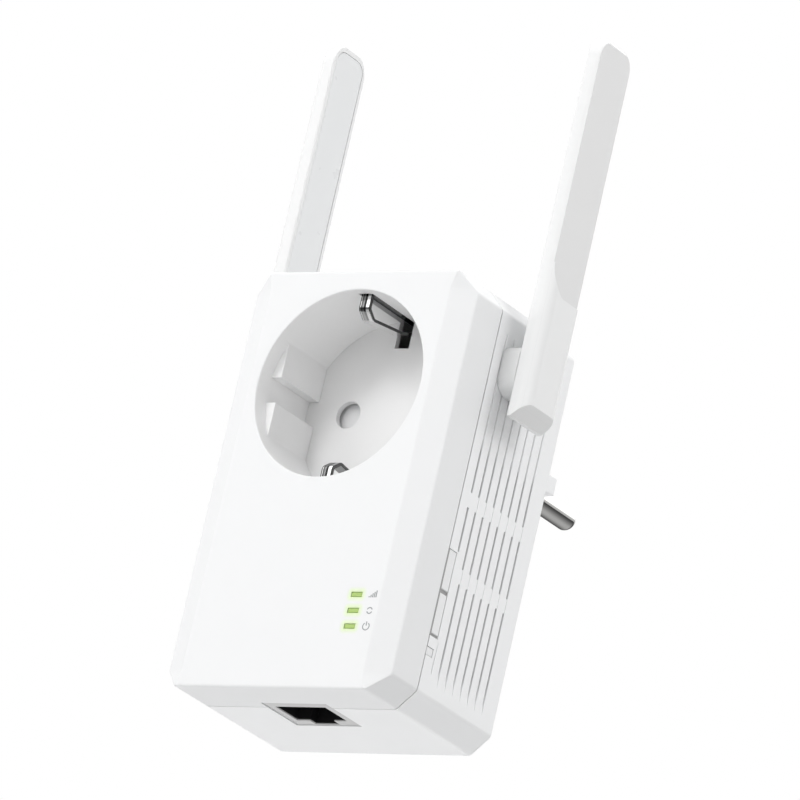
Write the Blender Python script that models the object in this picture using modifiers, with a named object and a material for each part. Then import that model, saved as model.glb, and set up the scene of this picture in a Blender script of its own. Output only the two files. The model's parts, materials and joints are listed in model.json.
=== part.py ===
"""Plug-in wifi range extender with a pass-through mains outlet and two swinging antennas.

Sizes are in millimetres and become metres as each mesh is made. While a shape is drawn, x runs to the
right, y runs back from the plane of the front face, and z runs up from the middle of the body. The finished
model has its origin at the middle of the plug's mating face, +Y into the wall outlet and +Z up.
"""

import math

import bmesh
import bpy
from mathutils import Matrix, Vector

MM = 0.001

# Body: a box with cut corners, split into a front cover and a rear housing
BODY_WIDTH = 54.8
BODY_HEIGHT = 88.8
BODY_DEPTH = 39.5
CORNER_CUT = 4.1
CORNER_ROUND = 1.5
SPLIT_DEPTH = 11.5
SPLIT_GAP = 0.3
WALL = 1.8
FRONT_WALL = 2.0
FACE_HALF_WIDTH = 22.3
SIDE_BEVEL_DEPTH = 2.6
BACK_ROUND = 1.5
CLEARANCE = 0.3
OVERSHOOT = 1.0

# Case screws, one in each corner
POST_X = 21.0
POST_Z = 37.5
FRONT_POST_RADIUS = 2.4
REAR_POST_RADIUS = 3.2
REAR_POST_START = 12.2
SCREW_SEAT = 14.5
SCREW_WELL_RADIUS = 2.3
SCREW_HOLE_RADIUS = 1.35
SCREW_HEAD_RADIUS = 2.0
SCREW_HEAD_HEIGHT = 1.5
SCREW_RADIUS = 1.05
SCREW_TIP = 4.2
CROSS_REACH = 0.9
CROSS_HALF_WIDTH = 0.2

# Outlet in the front
SOCKET_RISE = 20.3
SOCKET_RADIUS = 20.0
SOCKET_DEPTH = 17.5
TUBE_RADIUS = 21.6
FLOOR_THICKNESS = 1.2
RIB_HALF_SPACING = 17.4
RIB_START = 3.75
RIB_SLOT = 5.4
CONTACT_SPACING = 19.0
CONTACT_HOLE_RADIUS = 2.85
CLIP_SLOT_WIDTH = 3.5
CLIP_SLOT_START = 2.2
CLIP_WIDTH = 2.7
CLIP_THICKNESS = 0.7
CLIP_BEND = 0.9
STRAP_HALF_LENGTH = 21.4
STRAP_HALF_WIDTH = 3.0
STRAP_THICKNESS = 0.8
CONTACT_START = 25.2
CONTACT_LENGTH = 11.2
CONTACT_RADIUS = 3.6
CONTACT_BORE_RADIUS = 2.7
CONTACT_SLIT = 1.0
BUS_BAR_HALF_WIDTH = 3.4
BUS_BAR_THICKNESS = 0.6
BUS_BAR_LOW = -1.5

# Shutter behind the contact holes
SHUTTER_START = SOCKET_DEPTH + 1.7
SHUTTER_THICKNESS = 1.4
SHUTTER_LOBE_RADIUS = 3.7
SHUTTER_WEB_HALF_WIDTH = 2.6
SHUTTER_HUB_RADIUS = 3.6
SHUTTER_BORE_RADIUS = 1.7
PIVOT_RADIUS = 1.4
CARRIER_START = SOCKET_DEPTH + 5.8
CARRIER_RADIUS = 14.0
CARRIER_THICKNESS = 1.5
SPRING_RADIUS = 2.6
SPRING_WIRE_RADIUS = 0.17
SPRING_TURNS = 1.6
SPRING_RISE = 0.8

# Plug at the back
PLUG_RISE = 18.5
PLUG_LENGTH = 14.0
PLUG_RADIUS = 18.5
PLUG_FLAT = 16.4
PLUG_KEY_WIDTH = 3.9
PLUG_NECK_RADIUS = 14.0
PIN_RADIUS = 2.4
PIN_LENGTH = 19.0
PIN_TIP_ROUND = 1.5
PLUG_FACE = BODY_DEPTH + PLUG_LENGTH
GROOVE_FLOOR = 15.2
GROOVE_HALF_WIDTH = 4.0
GROOVE_END = PLUG_FACE - 2.5
EARTH_STRIP_INNER = 15.8
EARTH_STRIP_THICKNESS = 0.8
EARTH_STRIP_HALF_WIDTH = 3.0
EARTH_STRIP_SPAN = (36.0, 50.6)

# Antennas
HINGE_DEPTH = 20.3
HINGE_RISE = 29.1
ANTENNA_INNER = 31.6
ANTENNA_THICKNESS = 4.3
ANTENNA_WIDTH = 11.4
ANTENNA_BOTTOM = 19.0
ANTENNA_TOP = 101.5
ANTENNA_EDGE = 0.35
ANTENNA_OUTER_ROUND = 2.6
FOOT_LEDGE = 1.0
FOOT_SLANT = 0.88
TIP_HEIGHT = 4.6
TIP_FRONT_PULL = 3.4
TIP_BACK_PULL = 3.2
TIP_OUTER_PULL = 3.2
TIP_INNER_PULL = 0.1
FACET_X = 34.65
FACET_FRONT = 15.1
FACET_BOTTOM = 45.4
FACET_CURVE = (4.2, 6.6)
INLAY_BOTTOM = 36.0
INLAY_MARGIN = 0.95
INLAY_DEPTH = 1.15
INLAY_TOP_ROUND = 2.7
INLAY_FOOT_ROUND = 1.0
PLATE_THICKNESS = 0.8
CHANNEL_MARGIN = 1.9
CHANNEL_DEPTH = 2.3
ELEMENT_SPAN = (39.0, 94.0)
ELEMENT_HALF_WIDTH = 2.6
ELEMENT_THICKNESS = 0.7

# Hinge of each antenna
KNUCKLE_HALF_DEPTH = 5.65
KNUCKLE_HALF_HEIGHT = 5.1
KNUCKLE_FOOT_ROUND = 3.6
KNUCKLE_TOP_ROUND = 2.3
JOURNAL_RADIUS = 2.8
JOURNAL_HOLE_RADIUS = 3.1
JOURNAL_START = BODY_WIDTH / 2 - WALL - 2.2
LEAD_BORE_RADIUS = 1.4
GROOVE_RADIUS = 2.2
GROOVE_WIDTH = 0.9
RING_RADIUS = 4.4
RING_BORE_RADIUS = 2.5
RING_THICKNESS = 0.6
RING_MOUTH = 3.8

# Controls on the right side
KEY_DEPTHS = (12.0, 14.45)
RESET_DEPTHS = (11.8, 13.9)
POWER_SPAN = (-18.7, -10.35)
PAIRING_SPAN = (-28.0, -19.5)
RESET_SPAN = (-32.6, -30.9)
KEY_SINK = 0.05
KEY_FOOT = 0.3
KEY_FOOT_THICKNESS = 0.7
KEY_STEM_RADIUS = 0.7
KEY_GAP = 0.15
KEY_ROW_END = PAIRING_SPAN[0] - 0.6
SWITCH_HALF_HEIGHT = 2.6
RESET_SWITCH_HALF_HEIGHT = 1.2
SWITCH_SPAN_X = (17.5, 22.8)
SWITCH_THICKNESS = 4.9
SWITCH_DEPTH = 13.2
PLUNGER_RADIUS = 0.8

# Vents
VENT_COUNT = 8
VENT_START = 14.7
VENT_PITCH = 2.71
VENT_WIDTH = 0.6
VENT_ROWS = ((-34.6, -15.85), (-12.8, -0.6), (2.5, 12.0))
GROOVE_ROW = (11.5, 36.4)
VENT_GROOVE_DEPTH = 0.35

# Network jack in the bottom
JACK_HALF_WIDTH = 7.85
JACK_FRONT = 9.2
JACK_BACK = 21.9
JACK_HEIGHT = 16.0
JACK_SINK = 0.15
JACK_GAP = 0.2
PORT_HALF_WIDTH = 6.15
PORT_SPAN = (11.5, 19.4)
PORT_HEIGHT = 13.6
LATCH_HALF_WIDTH = 2.95
LATCH_BACK = 21.5
LATCH_HEIGHT = 10.6
CONTACT_COUNT = 8
CONTACT_PITCH = 1.02

# Indicator lights
LIGHT_X = 16.45
LIGHT_RISES = (-24.6, -27.95, -31.25)
LIGHT_WIDTH = 2.46
LIGHT_HEIGHT = 0.88
LIGHT_GAP = 0.11
LIGHT_COLLAR = 0.4

# Boards inside, and what stands on them
MAIN_BOARD = (7.3, 8.9)
MAIN_BOARD_HALF_WIDTH = 24.0
MAIN_BOARD_SPAN = (-42.0, -2.5)
MAIN_BOARD_CORNER = 3.0
POWER_BOARD = (33.2, 34.8)
POWER_BOARD_HALF_WIDTH = 23.5
POWER_BOARD_SPAN = (-33.0, -3.0)
HEADER_PINS = 8
HEADER_PITCH = 2.54
HEADER_RISE = -5.3
HEADER_HALF_HEIGHT = 1.25
HEADER_THICKNESS = 2.5
CAPACITOR_RADIUS = 5.0
CAPACITOR_START = 14.5
FUSE_RADIUS = 2.4
FUSE_LENGTH = 9.0
LEAD_RADIUS = 0.6
MAINS_WIRE_RADIUS = 0.7

SIDES = (("left", -1), ("right", 1))
TO_WORLD = Matrix.Scale(MM, 4) @ Matrix.Translation((0, -PLUG_FACE, -PLUG_RISE))

for old in list(bpy.data.objects):
    bpy.data.objects.remove(old)
PARTS = bpy.data.collections.new("wifi_range_extender")
CUTTERS = bpy.data.collections.new("cutters")
bpy.context.scene.collection.children.link(PARTS)
bpy.context.scene.collection.children.link(CUTTERS)
CUTTERS.hide_render = True


# ---------------------------------------------------------------- materials


def material(name, colour, roughness, metallic=0.0):
    made = bpy.data.materials.new(name)
    made.use_nodes = True
    shader = made.node_tree.nodes["Principled BSDF"]
    shader.inputs["Base Color"].default_value = (*colour, 1)
    shader.inputs["Roughness"].default_value = roughness
    shader.inputs["Metallic"].default_value = metallic
    return made


WHITE = material("white_plastic", (0.86, 0.87, 0.88), 0.35)
GLOSS_WHITE = material("gloss_white_plastic", (0.88, 0.89, 0.9), 0.18)
GREY = material("light_grey_plastic", (0.62, 0.62, 0.62), 0.4)
BLACK = material("black_plastic", (0.02, 0.02, 0.022), 0.45)
STEEL = material("bright_steel", (0.75, 0.75, 0.76), 0.2, 1.0)
NICKEL = material("nickel", (0.72, 0.7, 0.66), 0.22, 1.0)
BRASS = material("brass", (0.78, 0.6, 0.3), 0.3, 1.0)
BOARD = material("green_board", (0.03, 0.2, 0.08), 0.4)
GREEN = material("green_light", (0.35, 0.6, 0.2), 0.3)


# ---------------------------------------------------------------- outlines and solids


def rounded(corners, radius, steps, closed=True):
    """The corners of a 2D line, each replaced by an arc. An open line keeps its two ends.

    Radius is one number for all corners, or a list with one for each corner.
    """
    made = []
    count = len(corners)
    radii = radius if isinstance(radius, list) else [radius] * count
    for i, corner in enumerate(corners):
        if not closed and i in (0, count - 1):
            made.append(tuple(corner))
            continue
        here = Vector(corner)
        before = (Vector(corners[i - 1]) - here).normalized()
        after = (Vector(corners[(i + 1) % count]) - here).normalized()
        half_angle = before.angle(after) / 2
        reach = radii[i] / math.tan(half_angle)
        centre = here + (before + after).normalized() * radii[i] / math.sin(half_angle)
        start = here + before * reach - centre
        end = here + after * reach - centre
        turn = start.angle_signed(end)
        for k in range(steps + 1):
            arm = start.copy()
            arm.rotate(Matrix.Rotation(-turn * k / steps, 2))
            made.append(tuple(centre + arm))
    return made


def body_outline(inset=0.0, steps=2):
    """The body's outline in x and z, moved inwards by inset, anticlockwise from the lower right side."""
    half_width = BODY_WIDTH / 2 - inset
    half_height = BODY_HEIGHT / 2 - inset
    cut = CORNER_CUT - inset * (2 - math.sqrt(2))
    corners = [
        (half_width, -half_height + cut),
        (half_width, half_height - cut),
        (half_width - cut, half_height),
        (-half_width + cut, half_height),
        (-half_width, half_height - cut),
        (-half_width, -half_height + cut),
        (-half_width + cut, -half_height),
        (half_width - cut, -half_height),
    ]
    return rounded(corners, CORNER_ROUND, steps)


def loft(rings):
    """A closed solid through rings of points, all with as many points and running the same way round."""
    bm = bmesh.new()
    rows = [[bm.verts.new(point) for point in ring] for ring in rings]
    count = len(rows[0])
    for low, high in zip(rows, rows[1:]):
        for i in range(count):
            j = (i + 1) % count
            bm.faces.new((low[i], low[j], high[j], high[i]))
    bm.faces.new(list(reversed(rows[0])))
    bm.faces.new(rows[-1])
    bmesh.ops.remove_doubles(bm, verts=bm.verts, dist=0.002)
    bmesh.ops.recalc_face_normals(bm, faces=bm.faces)
    return bm


def prism(outline, low, high, axis="y"):
    """A flat outline given a thickness along one axis. Its two numbers are the other two axes, in order."""
    spots = {
        "x": lambda a, b, along: (along, a, b),
        "y": lambda a, b, along: (a, along, b),
        "z": lambda a, b, along: (a, b, along),
    }
    return loft([[spots[axis](a, b, along) for a, b in outline] for along in (low, high)])


def box(low, high):
    bm = bmesh.new()
    size = [high[i] - low[i] for i in range(3)]
    middle = [(high[i] + low[i]) / 2 for i in range(3)]
    bmesh.ops.create_cube(bm, matrix=Matrix.Translation(middle) @ Matrix.Diagonal((*size, 1)))
    return bm


def cylinder(centre, axis, radius, length, segments=32, end_radius=None):
    """A cylinder or cone from centre, running length along axis."""
    bm = bmesh.new()
    turn = Vector((0, 0, 1)).rotation_difference(Vector(axis)).to_matrix().to_4x4()
    middle = Vector(centre) + Vector(axis).normalized() * length / 2
    bmesh.ops.create_cone(
        bm,
        cap_ends=True,
        segments=segments,
        radius1=radius,
        radius2=radius if end_radius is None else end_radius,
        depth=length,
        matrix=Matrix.Translation(middle) @ turn,
    )
    return bm


def merged(*solids):
    """Several solids that don't touch, as one mesh for a cutter."""
    whole = bmesh.new()
    for solid in solids:
        mesh = bpy.data.meshes.new("piece")
        solid.to_mesh(mesh)
        solid.free()
        whole.from_mesh(mesh)
        bpy.data.meshes.remove(mesh)
    return whole


# ---------------------------------------------------------------- objects


def as_object(name, bm, collection):
    bm.transform(TO_WORLD)
    mesh = bpy.data.meshes.new(name)
    bm.to_mesh(mesh)
    bm.free()
    obj = bpy.data.objects.new(name, mesh)
    collection.objects.link(obj)
    return obj


def piece(name, bm, finish, bevel=0.0, segments=1, bevel_angle=40):
    """A named sub-part. A bevel width rounds every edge sharper than bevel_angle."""
    obj = as_object(name, bm, PARTS)
    obj.data.materials.append(finish)
    obj.data.shade_smooth()
    obj.data.set_sharp_from_angle(angle=math.radians(30))
    if bevel:
        edge = obj.modifiers.new("edges", "BEVEL")
        edge.width = bevel * MM
        edge.segments = segments
        edge.limit_method = "ANGLE"
        edge.angle_limit = math.radians(bevel_angle)
    return obj


def combine(obj, label, bm, operation):
    tool = as_object(f"{obj.name}_{label}", bm, CUTTERS)
    tool.hide_render = True
    tool.display_type = "WIRE"
    step = obj.modifiers.new(label, "BOOLEAN")
    step.operation = operation
    step.solver = "EXACT"
    step.object = tool


def cut(obj, label, bm):
    combine(obj, label, bm, "DIFFERENCE")


def join(obj, label, bm):
    combine(obj, label, bm, "UNION")


def put_origin(obj, x, y, z):
    """Moves the object's origin to a point on its joint's axis and leaves its shape in place."""
    point = TO_WORLD @ Vector((x, y, z))
    obj.data.transform(Matrix.Translation(-point))
    obj.location = point


def strip(name, path, width, thickness, finish, centre_x=0.0):
    """A bent metal strip: its path in y and z, its width along x."""
    bm = bmesh.new()
    rows = []
    for side in (-1, 1):
        rows.append([bm.verts.new((centre_x + side * width / 2, y, z)) for y, z in path])
    for i in range(len(path) - 1):
        bm.faces.new((rows[0][i], rows[0][i + 1], rows[1][i + 1], rows[1][i]))
    obj = as_object(name, bm, PARTS)
    obj.data.materials.append(finish)
    obj.data.shade_smooth()
    shell = obj.modifiers.new("thickness", "SOLIDIFY")
    shell.thickness = thickness * MM
    shell.offset = 0
    shell.use_even_offset = True
    return obj


def wire(name, points, radius, finish, resolution=2):
    """A wire or cable along a line of points."""
    curve = bpy.data.curves.new(name, "CURVE")
    curve.dimensions = "3D"
    curve.bevel_depth = radius * MM
    curve.bevel_resolution = resolution
    curve.use_fill_caps = True
    spline = curve.splines.new("POLY")
    spline.points.add(len(points) - 1)
    for target, point in zip(spline.points, points):
        target.co = (*(TO_WORLD @ Vector(point)), 1)
    curve.materials.append(finish)
    obj = bpy.data.objects.new(name, curve)
    PARTS.objects.link(obj)
    return obj


def smooth_path(route, steps):
    """Points on a Catmull-Rom curve through the route's own points."""
    spots = [Vector(point) for point in route]
    spots = [2 * spots[0] - spots[1], *spots, 2 * spots[-1] - spots[-2]]
    made = []
    for a, b, c, d in zip(spots, spots[1:], spots[2:], spots[3:]):
        for k in range(steps):
            t = k / steps
            made.append(
                0.5
                * (2 * b + (c - a) * t + (2 * a - 5 * b + 4 * c - d) * t**2 + (3 * b - a - 3 * c + d) * t**3)
            )
    made.append(spots[-2])
    return made


def corner_posts():
    return [(x, z) for x in (-POST_X, POST_X) for z in (-POST_Z, POST_Z)]


# ---------------------------------------------------------------- front cover


def front_rings(inset, start, end):
    """Rings of the front cover: the flat face, the back of its side bevels, and its rear edge."""
    half_width = BODY_WIDTH / 2 - inset
    half_height = BODY_HEIGHT / 2 - inset
    cut_size = CORNER_CUT - inset * (2 - math.sqrt(2))
    face_half = FACE_HALF_WIDTH - inset
    face, bevel, back = [], [], []
    for x, z in body_outline(inset, steps=3):
        rise = min(max((abs(x) - half_width + cut_size) / cut_size, 0), 1)
        climb = min(max((abs(z) - half_height + cut_size) / cut_size, 0), 1)
        limit = face_half + (half_width - cut_size - face_half) * climb**2
        face.append((math.copysign(min(abs(x), limit), x), start, z))
        bevel.append((x, start + SIDE_BEVEL_DEPTH * rise, z))
        back.append((x, end, z))
    return [face, bevel, back]


def rib_outline(side, up):
    """One guide rib of the outlet: flat inner face, flat slot side, and a round back inside the tube wall."""
    outer = SOCKET_RADIUS + 0.8
    slot = RIB_SLOT / 2
    first = math.asin(slot / outer)
    last = math.acos(RIB_HALF_SPACING / outer)
    arc = [first + (last - first) * k / 8 for k in range(9)]
    corners = [(RIB_HALF_SPACING, slot)] + [(outer * math.cos(a), outer * math.sin(a)) for a in arc]
    return [(side * x, SOCKET_RISE + up * z) for x, z in corners]


def clip_slots(start, end, inner, outer):
    """Boxes for the earth clips' slots, above and below the outlet's centre."""
    half = CLIP_SLOT_WIDTH / 2
    return merged(
        box((-half, start, SOCKET_RISE + inner), (half, end, SOCKET_RISE + outer)),
        box((-half, start, SOCKET_RISE - outer), (half, end, SOCKET_RISE - inner)),
    )


def make_front_cover():
    cover = piece("front_cover", loft(front_rings(0, 0, SPLIT_DEPTH)), WHITE)
    cut(cover, "hollow", loft(front_rings(WALL, FRONT_WALL, SPLIT_DEPTH + OVERSHOOT)))
    tube_start = FRONT_WALL / 2
    tube_length = SOCKET_DEPTH - CLEARANCE - tube_start
    join(cover, "tube", cylinder((0, tube_start, SOCKET_RISE), (0, 1, 0), TUBE_RADIUS, tube_length, 64))
    bore_length = SOCKET_DEPTH + 2 * OVERSHOOT
    cut(cover, "bore", cylinder((0, -OVERSHOOT, SOCKET_RISE), (0, 1, 0), SOCKET_RADIUS, bore_length, 64))
    ribs = [
        prism(rib_outline(side, up), RIB_START, SOCKET_DEPTH - CLEARANCE) for side in (-1, 1) for up in (-1, 1)
    ]
    join(cover, "ribs", merged(*ribs))
    cut(cover, "clip_slots", clip_slots(CLIP_SLOT_START, SOCKET_DEPTH + OVERSHOOT, 18.0, 22.1))
    posts = [
        cylinder((x, FRONT_WALL / 2, z), (0, 1, 0), FRONT_POST_RADIUS, SPLIT_DEPTH - FRONT_WALL / 2, 20)
        for x, z in corner_posts()
    ]
    join(cover, "posts", merged(*posts))
    pilots = [
        cylinder((x, FRONT_WALL + 1.5, z), (0, 1, 0), SCREW_HOLE_RADIUS, SPLIT_DEPTH, 16)
        for x, z in corner_posts()
    ]
    cut(cover, "pilots", merged(*pilots))
    windows = [light_box(rise, LIGHT_GAP, -OVERSHOOT, FRONT_WALL + OVERSHOOT) for rise in LIGHT_RISES]
    cut(cover, "light_windows", merged(*windows))
    cut(cover, "jack_opening", jack_opening(JACK_FRONT - JACK_GAP, SPLIT_DEPTH + OVERSHOOT))


def jack_opening(start, end):
    """The opening for the network jack in the bottom wall, between two depths."""
    half = JACK_HALF_WIDTH + JACK_GAP
    bottom = -BODY_HEIGHT / 2
    return box((-half, start, bottom - OVERSHOOT), (half, end, bottom + WALL + OVERSHOOT))


def light_box(rise, grow, start, end):
    """A box as wide and tall as a light window, grown by a little all round."""
    half_x = LIGHT_WIDTH / 2 + grow
    half_z = LIGHT_HEIGHT / 2 + grow
    return box((LIGHT_X - half_x, start, rise - half_z), (LIGHT_X + half_x, end, rise + half_z))


# ---------------------------------------------------------------- rear housing


def rear_rings(inset, start, end, back_round):
    """Rings of the rear housing, whose back edge is rounded."""
    rings = [[(x, start, z) for x, z in body_outline(inset)]]
    for k in range(4):
        angle = math.radians(30 * k)
        y = end - back_round + back_round * math.sin(angle)
        more = back_round * (1 - math.cos(angle))
        rings.append([(x, y, z) for x, z in body_outline(inset + more)])
    return rings


def vent_slots(side):
    """The vent slots of one side wall, in rows that leave two bridges between them."""
    slots = []
    for i in range(VENT_COUNT):
        for bottom, top in VENT_ROWS:
            if i == 0 and side > 0 and bottom < 0:
                if top < POWER_SPAN[1]:
                    continue
                bottom = POWER_SPAN[1] + 0.4
            slots.append(vent_box(side, i, bottom, top, WALL + 1.4))
    return slots


def vent_box(side, number, bottom, top, depth):
    """One slot or groove in a side wall, from just outside it to a depth inside."""
    wall = side * BODY_WIDTH / 2
    low_x, high_x = sorted((wall - side * depth, wall + side * OVERSHOOT))
    middle = VENT_START + number * VENT_PITCH
    low = (low_x, middle - VENT_WIDTH / 2, bottom)
    return box(low, (high_x, middle + VENT_WIDTH / 2, top))


def key_windows():
    """The openings in the right wall: a long one for two keys and a small one for the reset key."""
    inner = BODY_WIDTH / 2 - WALL - OVERSHOOT
    outer = BODY_WIDTH / 2 + OVERSHOOT
    front = SPLIT_DEPTH - OVERSHOOT
    long_low = (inner, front, KEY_ROW_END)
    long_high = (outer, KEY_DEPTHS[1] + KEY_GAP, POWER_SPAN[1] + KEY_GAP)
    reset_low = (inner, front, RESET_SPAN[0] - KEY_GAP)
    reset_high = (outer, RESET_DEPTHS[1] + KEY_GAP, RESET_SPAN[1] + KEY_GAP)
    return merged(box(long_low, long_high), box(reset_low, reset_high))


def make_rear_housing():
    start = SPLIT_DEPTH + SPLIT_GAP
    inner_back = BODY_DEPTH - WALL
    housing = piece("rear_housing", loft(rear_rings(0, start, BODY_DEPTH, BACK_ROUND)), WHITE)
    cut(housing, "hollow", loft(rear_rings(WALL, start - OVERSHOOT, inner_back, 0.4)))
    post_length = inner_back + WALL / 2 - REAR_POST_START
    posts = [
        cylinder((x, REAR_POST_START, z), (0, 1, 0), REAR_POST_RADIUS, post_length, 24) for x, z in corner_posts()
    ]
    join(housing, "posts", merged(*posts))
    wells = [
        cylinder((x, SCREW_SEAT, z), (0, 1, 0), SCREW_WELL_RADIUS, BODY_DEPTH, 20) for x, z in corner_posts()
    ]
    cut(housing, "wells", merged(*wells))
    holes = [
        cylinder((x, REAR_POST_START - OVERSHOOT, z), (0, 1, 0), SCREW_HOLE_RADIUS, 5, 16)
        for x, z in corner_posts()
    ]
    cut(housing, "screw_holes", merged(*holes))
    cut(housing, "vents", merged(*vent_slots(-1), *vent_slots(1)))
    grooves = [vent_box(side, i, *GROOVE_ROW, VENT_GROOVE_DEPTH) for side in (-1, 1) for i in range(VENT_COUNT)]
    cut(housing, "vent_grooves", merged(*grooves))
    hole_start = inner_back - OVERSHOOT
    plug_hole = cylinder(
        (0, hole_start, PLUG_RISE), (0, 1, 0), PLUG_NECK_RADIUS + CLEARANCE, WALL + 2 * OVERSHOOT, 48
    )
    cut(housing, "plug_hole", plug_hole)
    strips = [earth_strip_box(up, hole_start, BODY_DEPTH + OVERSHOOT, 0.4) for up in (-1, 1)]
    cut(housing, "strip_slots", merged(*strips))
    hinge_centre = (-BODY_WIDTH, HINGE_DEPTH, HINGE_RISE)
    cut(housing, "hinge_holes", cylinder(hinge_centre, (1, 0, 0), JOURNAL_HOLE_RADIUS, 2 * BODY_WIDTH, 24))
    cut(housing, "key_windows", key_windows())
    cut(housing, "jack_opening", jack_opening(SPLIT_DEPTH - OVERSHOOT, JACK_BACK + JACK_GAP))


def make_case_screws():
    head_start = SCREW_SEAT + CLEARANCE
    head_end = head_start + SCREW_HEAD_HEIGHT
    floor = head_end - 0.8
    mouth = head_end + OVERSHOOT
    wide, thin = CROSS_REACH, CROSS_HALF_WIDTH
    apart = thin + 0.02
    for number, (x, z) in enumerate(corner_posts(), 1):
        head = cylinder((x, head_start, z), (0, 1, 0), SCREW_HEAD_RADIUS, SCREW_HEAD_HEIGHT, 20)
        screw = piece(f"case_screw_{number}", head, STEEL)
        shank_length = head_start - SCREW_TIP + SCREW_HEAD_HEIGHT / 2
        join(screw, "shank", cylinder((x, SCREW_TIP, z), (0, 1, 0), SCREW_RADIUS, shank_length, 12))
        cross = merged(
            box((x - wide, floor, z - thin), (x + wide, mouth, z + thin)),
            box((x - thin, floor, z - wide), (x + thin, mouth, z - apart)),
            box((x - thin, floor, z + apart), (x + thin, mouth, z + wide)),
        )
        cut(screw, "recess", cross)


# ---------------------------------------------------------------- plug


def plug_outline(steps=9):
    """A round plug body with a flat notch and a narrow key at each side."""
    notch = math.sqrt(PLUG_RADIUS**2 - PLUG_FLAT**2)
    first = math.asin((notch + 1.6) / PLUG_RADIUS)
    key = PLUG_KEY_WIDTH / 2
    quarter = [(PLUG_RADIUS, key), (PLUG_FLAT, key), (PLUG_FLAT, notch + 1.0)]
    for k in range(steps + 1):
        angle = first + (math.pi / 2 - first) * k / steps
        quarter.append((PLUG_RADIUS * math.cos(angle), PLUG_RADIUS * math.sin(angle)))
    half = quarter + [(-x, z) for x, z in reversed(quarter[:-1])]
    whole = half + [(x, -z) for x, z in reversed(half)]
    return [(x, PLUG_RISE + z) for x, z in whole]


def make_plug():
    inner = BODY_DEPTH - WALL + 0.1
    base = piece("plug_base", prism(plug_outline(), BODY_DEPTH + CLEARANCE, PLUG_FACE), WHITE)
    neck = cylinder((0, inner, PLUG_RISE), (0, 1, 0), PLUG_NECK_RADIUS, WALL + OVERSHOOT, 48)
    join(base, "neck", neck)
    bores = []
    for _, side in SIDES:
        centre = (side * CONTACT_SPACING / 2, inner - OVERSHOOT, PLUG_RISE)
        bores.append(cylinder(centre, (0, 1, 0), PIN_RADIUS + CLEARANCE, PLUG_LENGTH + 2 * WALL + OVERSHOOT, 24))
    cut(base, "pin_bores", merged(*bores))
    grooves = []
    for up in (-1, 1):
        low, high = sorted((PLUG_RISE + up * GROOVE_FLOOR, PLUG_RISE + up * (PLUG_RADIUS + OVERSHOOT)))
        groove_low = (-GROOVE_HALF_WIDTH, inner - OVERSHOOT, low)
        grooves.append(box(groove_low, (GROOVE_HALF_WIDTH, GROOVE_END, high)))
    cut(base, "earth_grooves", merged(*grooves))
    length = PLUG_FACE + PIN_LENGTH - inner
    for name, side in SIDES:
        pin = cylinder((side * CONTACT_SPACING / 2, inner, PLUG_RISE), (0, 1, 0), PIN_RADIUS, length, 28)
        tips = [edge for edge in pin.edges if all(v.co.y > inner + length - 0.01 for v in edge.verts)]
        bmesh.ops.bevel(pin, geom=tips, offset=PIN_TIP_ROUND, segments=4, affect="EDGES", profile=0.5)
        piece(f"plug_pin_{name}", pin, NICKEL)
    for name, up in (("bottom", -1), ("top", 1)):
        piece(f"plug_earth_strip_{name}", earth_strip_box(up, *EARTH_STRIP_SPAN, 0), STEEL)


def earth_strip_box(up, start, end, grow):
    """The plug's earth strip, above or below its centre, or the slot for it when it grows."""
    inner = EARTH_STRIP_INNER - grow
    outer = EARTH_STRIP_INNER + EARTH_STRIP_THICKNESS + grow
    low, high = sorted((PLUG_RISE + up * inner, PLUG_RISE + up * outer))
    half = EARTH_STRIP_HALF_WIDTH + grow
    return box((-half, start, low), (half, end, high))


# ---------------------------------------------------------------- outlet


def contact_holes(start, length, radius):
    """Two bores on the outlet's contact spacing."""
    centres = [(side * CONTACT_SPACING / 2, start, SOCKET_RISE) for _, side in SIDES]
    return merged(*[cylinder(centre, (0, 1, 0), radius, length, 32) for centre in centres])


def make_socket_floor():
    centre = (0, SOCKET_DEPTH, SOCKET_RISE)
    floor = piece("socket_floor", cylinder(centre, (0, 1, 0), TUBE_RADIUS, FLOOR_THICKNESS, 64), WHITE)
    start = SOCKET_DEPTH - OVERSHOOT
    length = FLOOR_THICKNESS + 2 * OVERSHOOT
    cut(floor, "contact_holes", contact_holes(start, length, CONTACT_HOLE_RADIUS))
    cut(floor, "clip_slots", clip_slots(start, start + length, 14.3, 23))


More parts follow.
